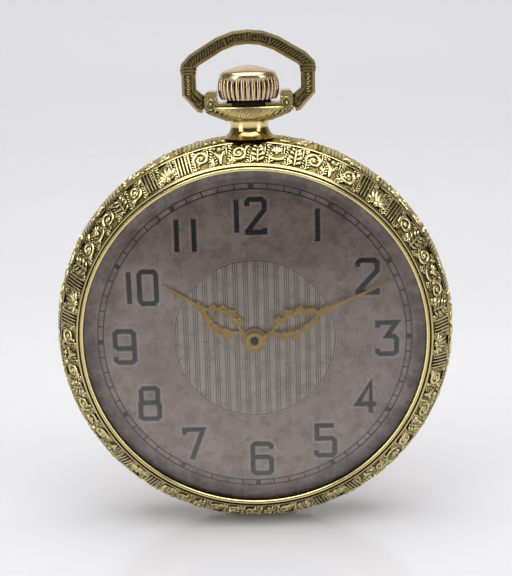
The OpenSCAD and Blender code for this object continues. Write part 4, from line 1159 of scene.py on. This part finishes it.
DIGITS = {
    "0": ([(0, .1), (0, .9), (.16, 1), (.84, 1), (1, .9), (1, .1), (.84, 0), (.16, 0)], True),
    "1": ([(.5, 0), (.5, 1)], False),
    "2": ([(0, .8), (0, .93), (.14, 1), (.84, 1), (1, .92), (1, .68), (0, .04), (0, 0), (1, 0), (1, .13)],
          False),
    "3": ([(0, .84), (0, 1), (1, 1), (.5, .57), (.84, .57), (1, .48), (1, .08), (.86, 0), (.14, 0),
           (0, .07), (0, .17)], False),
    "4": ([(.72, 0), (.72, 1), (0, .3), (1, .3)], False),
    "5": ([(.95, 1), (.05, 1), (.05, .57), (.85, .57), (1, .49), (1, .08), (.86, 0), (.14, 0), (0, .07),
           (0, .17)], False),
    "6": ([(1, .82), (1, .93), (.86, 1), (.14, 1), (0, .92), (0, .08), (.14, 0), (.86, 0), (1, .08),
           (1, .48), (.86, .55), (.02, .55)], False),
    "7": ([(0, .84), (0, 1), (1, 1), (.36, 0)], False),
    "8": ([(0, .52), (0, .08), (.14, 0), (.86, 0), (1, .08), (1, .44), (.86, .53), (.12, .53), (.06, .6),
           (.06, .93), (.18, 1), (.82, 1), (.94, .93), (.94, .6), (.86, .53)], False),
    "9": ([(.98, .45), (.14, .45), (0, .52), (0, .92), (.14, 1), (.86, 1), (1, .92), (1, .08), (.86, 0),
           (.14, 0), (0, .07), (0, .18)], False),
}
NUMERALS = [("12", -0.1, 13.8), ("1", 7.1, 12.65), ("2", 12.45, 6.85), ("3", 14.6, -0.2),
            ("4", 12.35, -7.1),
            ("5", 7.7, -12.1), ("6", 0.5, -14.15), ("7", -7.15, -12.3), ("8", -11.95, -7.3),
            ("9", -14.4, -0.6), ("10", -12.1, 6.1), ("11", -7.2, 11.8)]


class WATCH_OT_dial(WatchOperator, bpy.types.Operator):
    """Finish the dial and print the numerals, each in an embossed outline, and the minute track"""
    bl_idname = "watch.dial"
    bl_label = "Dial"

    def execute(self, context):
        s = self.settings(context)
        give("dial", MATS["dial"])
        w = s.numeral_stroke / MM
        h = s.numeral_height / MM - w
        bag = Bag()
        for text, cx, cy in NUMERALS:
            wide = 2.1 if len(text) == 1 else 1.85
            widths = [0.01 if c == "1" else wide for c in text]
            gap = 1.35 if text == "11" else 0.62
            total = sum(widths) + (w + gap) * (len(text) - 1)
            x = cx - total / 2
            for c, cw in zip(text, widths):
                pts, closed = DIGITS[c]
                pts = [(x + (px - (0.5 if c == "1" else 0)) * cw, cy - h / 2 + py * h) for px, py in pts]
                ends = [] if closed else [(0, 1), (-1, -2)]
                longer = [np.array(q, float) for q in pts]
                for a, b in ends:
                    d = longer[a] - longer[b]
                    longer[a] = longer[a] + d / np.linalg.norm(d) * 0.2
                bag.add(*strip(longer, w + 0.48, -0.01, 0.012, closed), mat=1)
                bag.add(*strip(longer, w + 0.36, -0.01, 0.02, closed), mat=2)
                bag.add(*strip(pts, w, -0.01, 0.04, closed))
                x += cw + w + gap
        bag.piece("numerals", [MATS["numerals"], MATS["pale"], MATS["dial"]], body="watch",
                  slot="dial_face", angle=30)
        low, high = -0.01, 0.035
        outer, inner = s.track_r / MM, (s.track_r - s.track_w) / MM
        bag = Bag()
        a = np.linspace(0, 2 * math.pi, 361)[:-1]
        for r in (outer, inner):
            bag.add(*strip(np.stack([r * np.sin(a), r * np.cos(a)], 1), 0.12, low, high, True))
        bag.piece("track_lines", MATS["track"], body="watch", slot="dial_face", angle=30)
        for name, count, width, top in (("minute_ticks", s.ticks, 0.13, high),
                                        ("five_minute_blocks", 12, 0.55, high + 0.003)):
            mark = Bag()
            mark.add(*strip([(0, inner), (0, outer)], width, low, top))
            ring_of(mark, name, count, 360 / count, MATS["track"], body="watch", slot="dial_face")
        return {"FINISHED"}


def hand_shape(spear, k, low, slim):
    """A filigree hand along +x: two branches set with small flowers and leaves, then a slim spear."""
    bag = Bag()
    z = low + 0.08
    full = 1.3

    def bar(points, w, h=0.15):
        p = np.array([(x, y, z) for x, y in points], float)
        bag.add(*sweep(p, np.multiply(w, full), h, sides=8))

    def leaf(x, y, turn, size, w):
        t = np.linspace(0, 1, 6)
        a = math.radians(turn)
        bar([(x + size * q * math.cos(a), y + size * q * math.sin(a)) for q in t],
            w * np.sin(math.pi * (0.12 + 0.8 * t)), 0.17)

    def flower(x, y, turn, size):
        for i in range(5):
            leaf(x, y, turn + 72 * i, size, size * 0.62)
        bag.add(*ball((x, y, z + 0.03), size * 0.3, 0.7))

    bar([(0.7, 0), (1.3 * k, 0), (2.3 * k, 0)], [0.4, 0.3, 0.24])
    flower(2.05 * k, 0, 36, 0.44)
    t = np.linspace(0, 1, 15)
    for side in (-1, 1):
        x = (2.1 + 5.7 * t) * k
        y = side * 1.02 * np.sin(math.pi * t) ** 0.8
        bar(np.stack([x, y], 1), 0.25 * np.ones(15))
        for q, off, turn, size in ((0.2, 0.3, 70, 0.56), (0.42, 0.24, 100, 0.62), (0.66, 0.18, 60, 0.58),
                                   (0.87, 0.12, 80, 0.46)):
            q += 0.02 * side
            cx, cy = (2.1 + 5.7 * q) * k, side * (1.02 * math.sin(math.pi * q) ** 0.8 + off)
            flower(cx, cy, side * turn, size)
            leaf(cx + 0.1, cy - side * 0.2, side * -50, 0.5, 0.24)
            leaf(cx - 0.2, cy, side * 150, 0.5, 0.24)
        for q in (0.31, 0.54, 0.77):
            leaf((2.1 + 5.7 * q) * k, side * 1.0 * math.sin(math.pi * q) ** 0.8, side * -60, 0.46, 0.22)
            leaf((2.1 + 5.7 * q) * k, side * 1.02 * math.sin(math.pi * q) ** 0.8, side * 35, 0.5, 0.24)
        leaf(8.5 * k, side * 0.1, side * 140, 0.55, 0.28)
        leaf(8.6 * k, side * 0.1, side * 45, 0.55, 0.28)
    flower(8.05 * k, 0, 0, 0.42)
    x = np.linspace(7.7 * k, spear, 9)
    bar(np.stack([x, x * 0], 1), np.array([0.22, 0.3, 0.28, 0.26, 0.24, 0.21, 0.17, 0.12, 0.03]) * slim,
        0.14)
    return bag


class WATCH_OT_hands(WatchOperator, bpy.types.Operator):
    """Make the two filigree hands and their bosses"""
    bl_idname = "watch.hands"
    bl_label = "Hands"

    def execute(self, context):
        s = self.settings(context)
        for name, body, at, tip, k, low, boss, bore in (
                ("minute_hand", "minute_train", s.minute_at, 16.9, 1.0, 0.57, 1.05, 0.42),
                ("hour_hand", "hour_train", s.hour_at, 11.8, 0.84, 0.25, 1.35, 0.9)):
            bag = hand_shape(tip, k, low, 1.0)
            bag.move(Matrix.Rotation(math.radians(90) - at, 4, "Z"))
            ring = [(bore, low - 0.06), (boss - 0.1, low - 0.06), (boss, low + 0.02), (boss, low + 0.1),
                    (boss - 0.12, low + 0.18), (boss - 0.3, low + 0.2), (bore + 0.1, low + 0.18),
                    (bore, low + 0.12)]
            bag.add(*lathe(ring, 64))
            bag.piece(name + "_filigree", MATS["hand"], body=body, nodes=[name], slot="gilt", angle=45)
        # The cannon pinion takes the near-black painted shade of a bore
        give("cannon_pinion", MATS["hole"])
        return {"FINISHED"}


# Works, crystal and stage


def give(node, material):
    obj = frame["nodes"][node]
    obj.data.materials.clear()
    obj.data.materials.append(material)


class WATCH_OT_works(WatchOperator, bpy.types.Operator):
    """Give every wheel, bridge, spring and screw of the movement its finish"""
    bl_idname = "watch.works"
    bl_label = "Movement"

    def execute(self, context):
        self.settings(context)
        finish = {"nickel": "nickel", "ruby": "ruby", "blued": "blue", "gilt": "gilt", "steel": "steel",
                  "gold_case": "gold", "gold_dark": "dark gold", "dial_face": "dial", "glass": "glass"}
        done = {"dial", "pendant", "case_middle", "back_cover", "cannon_pinion", "crystal"}
        for part in frame["record"]["subparts"]:
            if part["node"] not in done:
                give(part["node"], MATS[finish[part["material_slot"]]])
        return {"FINISHED"}


class WATCH_OT_crystal(WatchOperator, bpy.types.Operator):
    """Make the domed crystal with its seat in the bezel's groove"""
    bl_idname = "watch.crystal"
    bl_label = "Crystal"

    def execute(self, context):
        self.settings(context)
        edge, top, thick = 0.8, 2.8, 0.4
        r = 18.7
        rise = top - edge
        big = (r * r + rise * rise) / (2 * rise)
        profile = [(r + 0.2, edge), (r + 0.2, edge + 0.25), (r - 0.02, edge + 0.26)]
        for t in np.linspace(0.985, 0, 40):
            profile.append((max(r * t, 0.005), top - big + math.sqrt(big * big - (r * t) ** 2)))
        small = big - thick
        for t in np.linspace(0, 0.95, 36):
            profile.append((max(r * t, 0.005),
                            max(top - big + math.sqrt(small * small - (r * t) ** 2), edge)))
        profile.append((r - 0.9, edge))
        bag = Bag()
        bag.add(*lathe(profile, 256))
        bag.piece("crystal_dome", MATS["glass"], body="bezel_body", nodes=["crystal"], slot="glass",
                  angle=50)
        return {"FINISHED"}


def area_light(name, at, toward, size, power, color=(1, 1, 1), shape="RECTANGLE", size_y=None):
    data = bpy.data.lights.new(name, "AREA")
    data.shape = shape
    data.size = size
    if size_y:
        data.size_y = size_y
    data.energy = power
    data.color = color
    obj = bpy.data.objects.new(name, data)
    obj.location = at
    obj.rotation_euler = (Vector(toward) - Vector(at)).to_track_quat("-Z", "Y").to_euler()
    bpy.context.scene.collection.objects.link(obj)
    return obj


class WATCH_OT_stage(WatchOperator, bpy.types.Operator):
    """Set the pale sweep of floor and backdrop, the soft lamps and the camera"""
    bl_idname = "watch.stage"
    bl_label = "Stage"

    def execute(self, context):
        s = self.settings(context)
        low = -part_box("case_middle")[1].x
        paper, tree, shader = principled("pale paper", (0.56, 0.555, 0.57), 0.14, 0.0,
                                         Specular_IOR_Level=0.5,
                                         Emission_Color=(0.97, 0.97, 1.0, 1), Emission_Strength=0.05)
        at = mm_coords(tree)
        tree.links.new(ramp(tree, noise(tree, at, 0.02), 0.3, 0.7, 0.1, 0.16), shader.inputs["Roughness"])
        front, bend, tall, reach = -1.1, 0.35, 1.6, 2.2
        behind = 0.35
        profile = [(front, 0.0)]
        profile += [(behind + bend * math.sin(a), bend * (1 - math.cos(a))) for a in np.linspace(0,
                math.pi / 2, 17)]
        profile.append((behind + bend, tall))
        verts = [(x, y, low + z) for x in (-reach, reach) for y, z in profile]
        n = len(profile)
        mesh = bpy.data.meshes.new("floor")
        mesh.from_pydata(verts, [], [(i, n + i, n + i + 1, i + 1) for i in range(n - 1)])
        mesh.materials.append(paper)
        mesh.shade_smooth()
        obj = bpy.data.objects.new("floor", mesh)
        context.scene.collection.objects.link(obj)
        world = bpy.data.worlds.new("studio")
        world.use_nodes = True
        world.node_tree.nodes["Background"].inputs["Color"].default_value = (0.1, 0.1, 0.105, 1)
        world.node_tree.nodes["Background"].inputs["Strength"].default_value = 1.0
        context.scene.world = world
        k = s.light
        area_light("overhead", (0.0, -0.2, 0.95), (0, 0.0, 0), 1.3, k * 15, size_y=1.0)
        area_light("left", (-0.7, -0.5, 0.22), (0, 0, 0), 0.34, k * 2.6, size_y=0.7)
        area_light("right", (0.75, -0.45, 0.28), (0, 0, 0), 0.3, k * 2.0, size_y=0.7)
        area_light("backdrop", (0.0, 0.1, 1.3), (0, 0.75, 0.1), 1.6, k * 2.5, size_y=0.5)
        elevation, azimuth, roll = (math.radians(v) for v in (13.985, 1.105, -1.5))
        level = math.cos(elevation)
        back = Vector((math.sin(azimuth) * level, -math.cos(azimuth) * level, math.sin(elevation)))
        right = (-back).cross(Vector((0, 0, 1))).normalized()
        up = right.cross(-back)
        turned = (right * math.cos(roll) + up * math.sin(roll),
                  up * math.cos(roll) - right * math.sin(roll), back)
        cam = bpy.data.cameras.new("camera")
        cam.lens = 67.3
        cam.sensor_width = 36
        cam.clip_start = 0.001
        eye = bpy.data.objects.new("camera", cam)
        place = Matrix(turned).transposed().to_4x4()
        place.translation = Vector((0.0003, DIAL_Y, 0.00581)) + back * 0.11755
        eye.matrix_world = place
        context.scene.collection.objects.link(eye)
        context.scene.camera = eye
        context.scene.view_settings.view_transform = "Standard"
        return {"FINISHED"}


class WATCH_PT_panel(bpy.types.Panel):
    """Lists the settings and a button for each operator"""
    bl_idname = "WATCH_PT_panel"
    bl_label = "Pocket watch"
    bl_space_type = "VIEW_3D"
    bl_region_type = "UI"
    bl_category = "Watch"

    def draw(self, context):
        for name in WatchSettings.__annotations__:
            self.layout.prop(context.scene.watch, name)
        for kind in OPERATORS:
            self.layout.operator(kind.bl_idname)


OPERATORS = (WATCH_OT_bezel, WATCH_OT_band, WATCH_OT_pendant, WATCH_OT_bow, WATCH_OT_crown, WATCH_OT_dial,
             WATCH_OT_hands, WATCH_OT_works, WATCH_OT_crystal, WATCH_OT_stage)
CLASSES = (WatchSettings, *OPERATORS, WATCH_PT_panel)


def register():
    for kind in CLASSES:
        bpy.utils.register_class(kind)
    bpy.types.Scene.watch = bpy.props.PointerProperty(type=WatchSettings)


def unregister():
    del bpy.types.Scene.watch
    for kind in reversed(CLASSES):
        bpy.utils.unregister_class(kind)


def main():
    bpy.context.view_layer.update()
    register()
    MATS.update(make_materials())
    for kind in OPERATORS:
        group, name = kind.bl_idname.split(".")
        getattr(getattr(bpy.ops, group), name)()


if __name__ == "__main__":
    main()
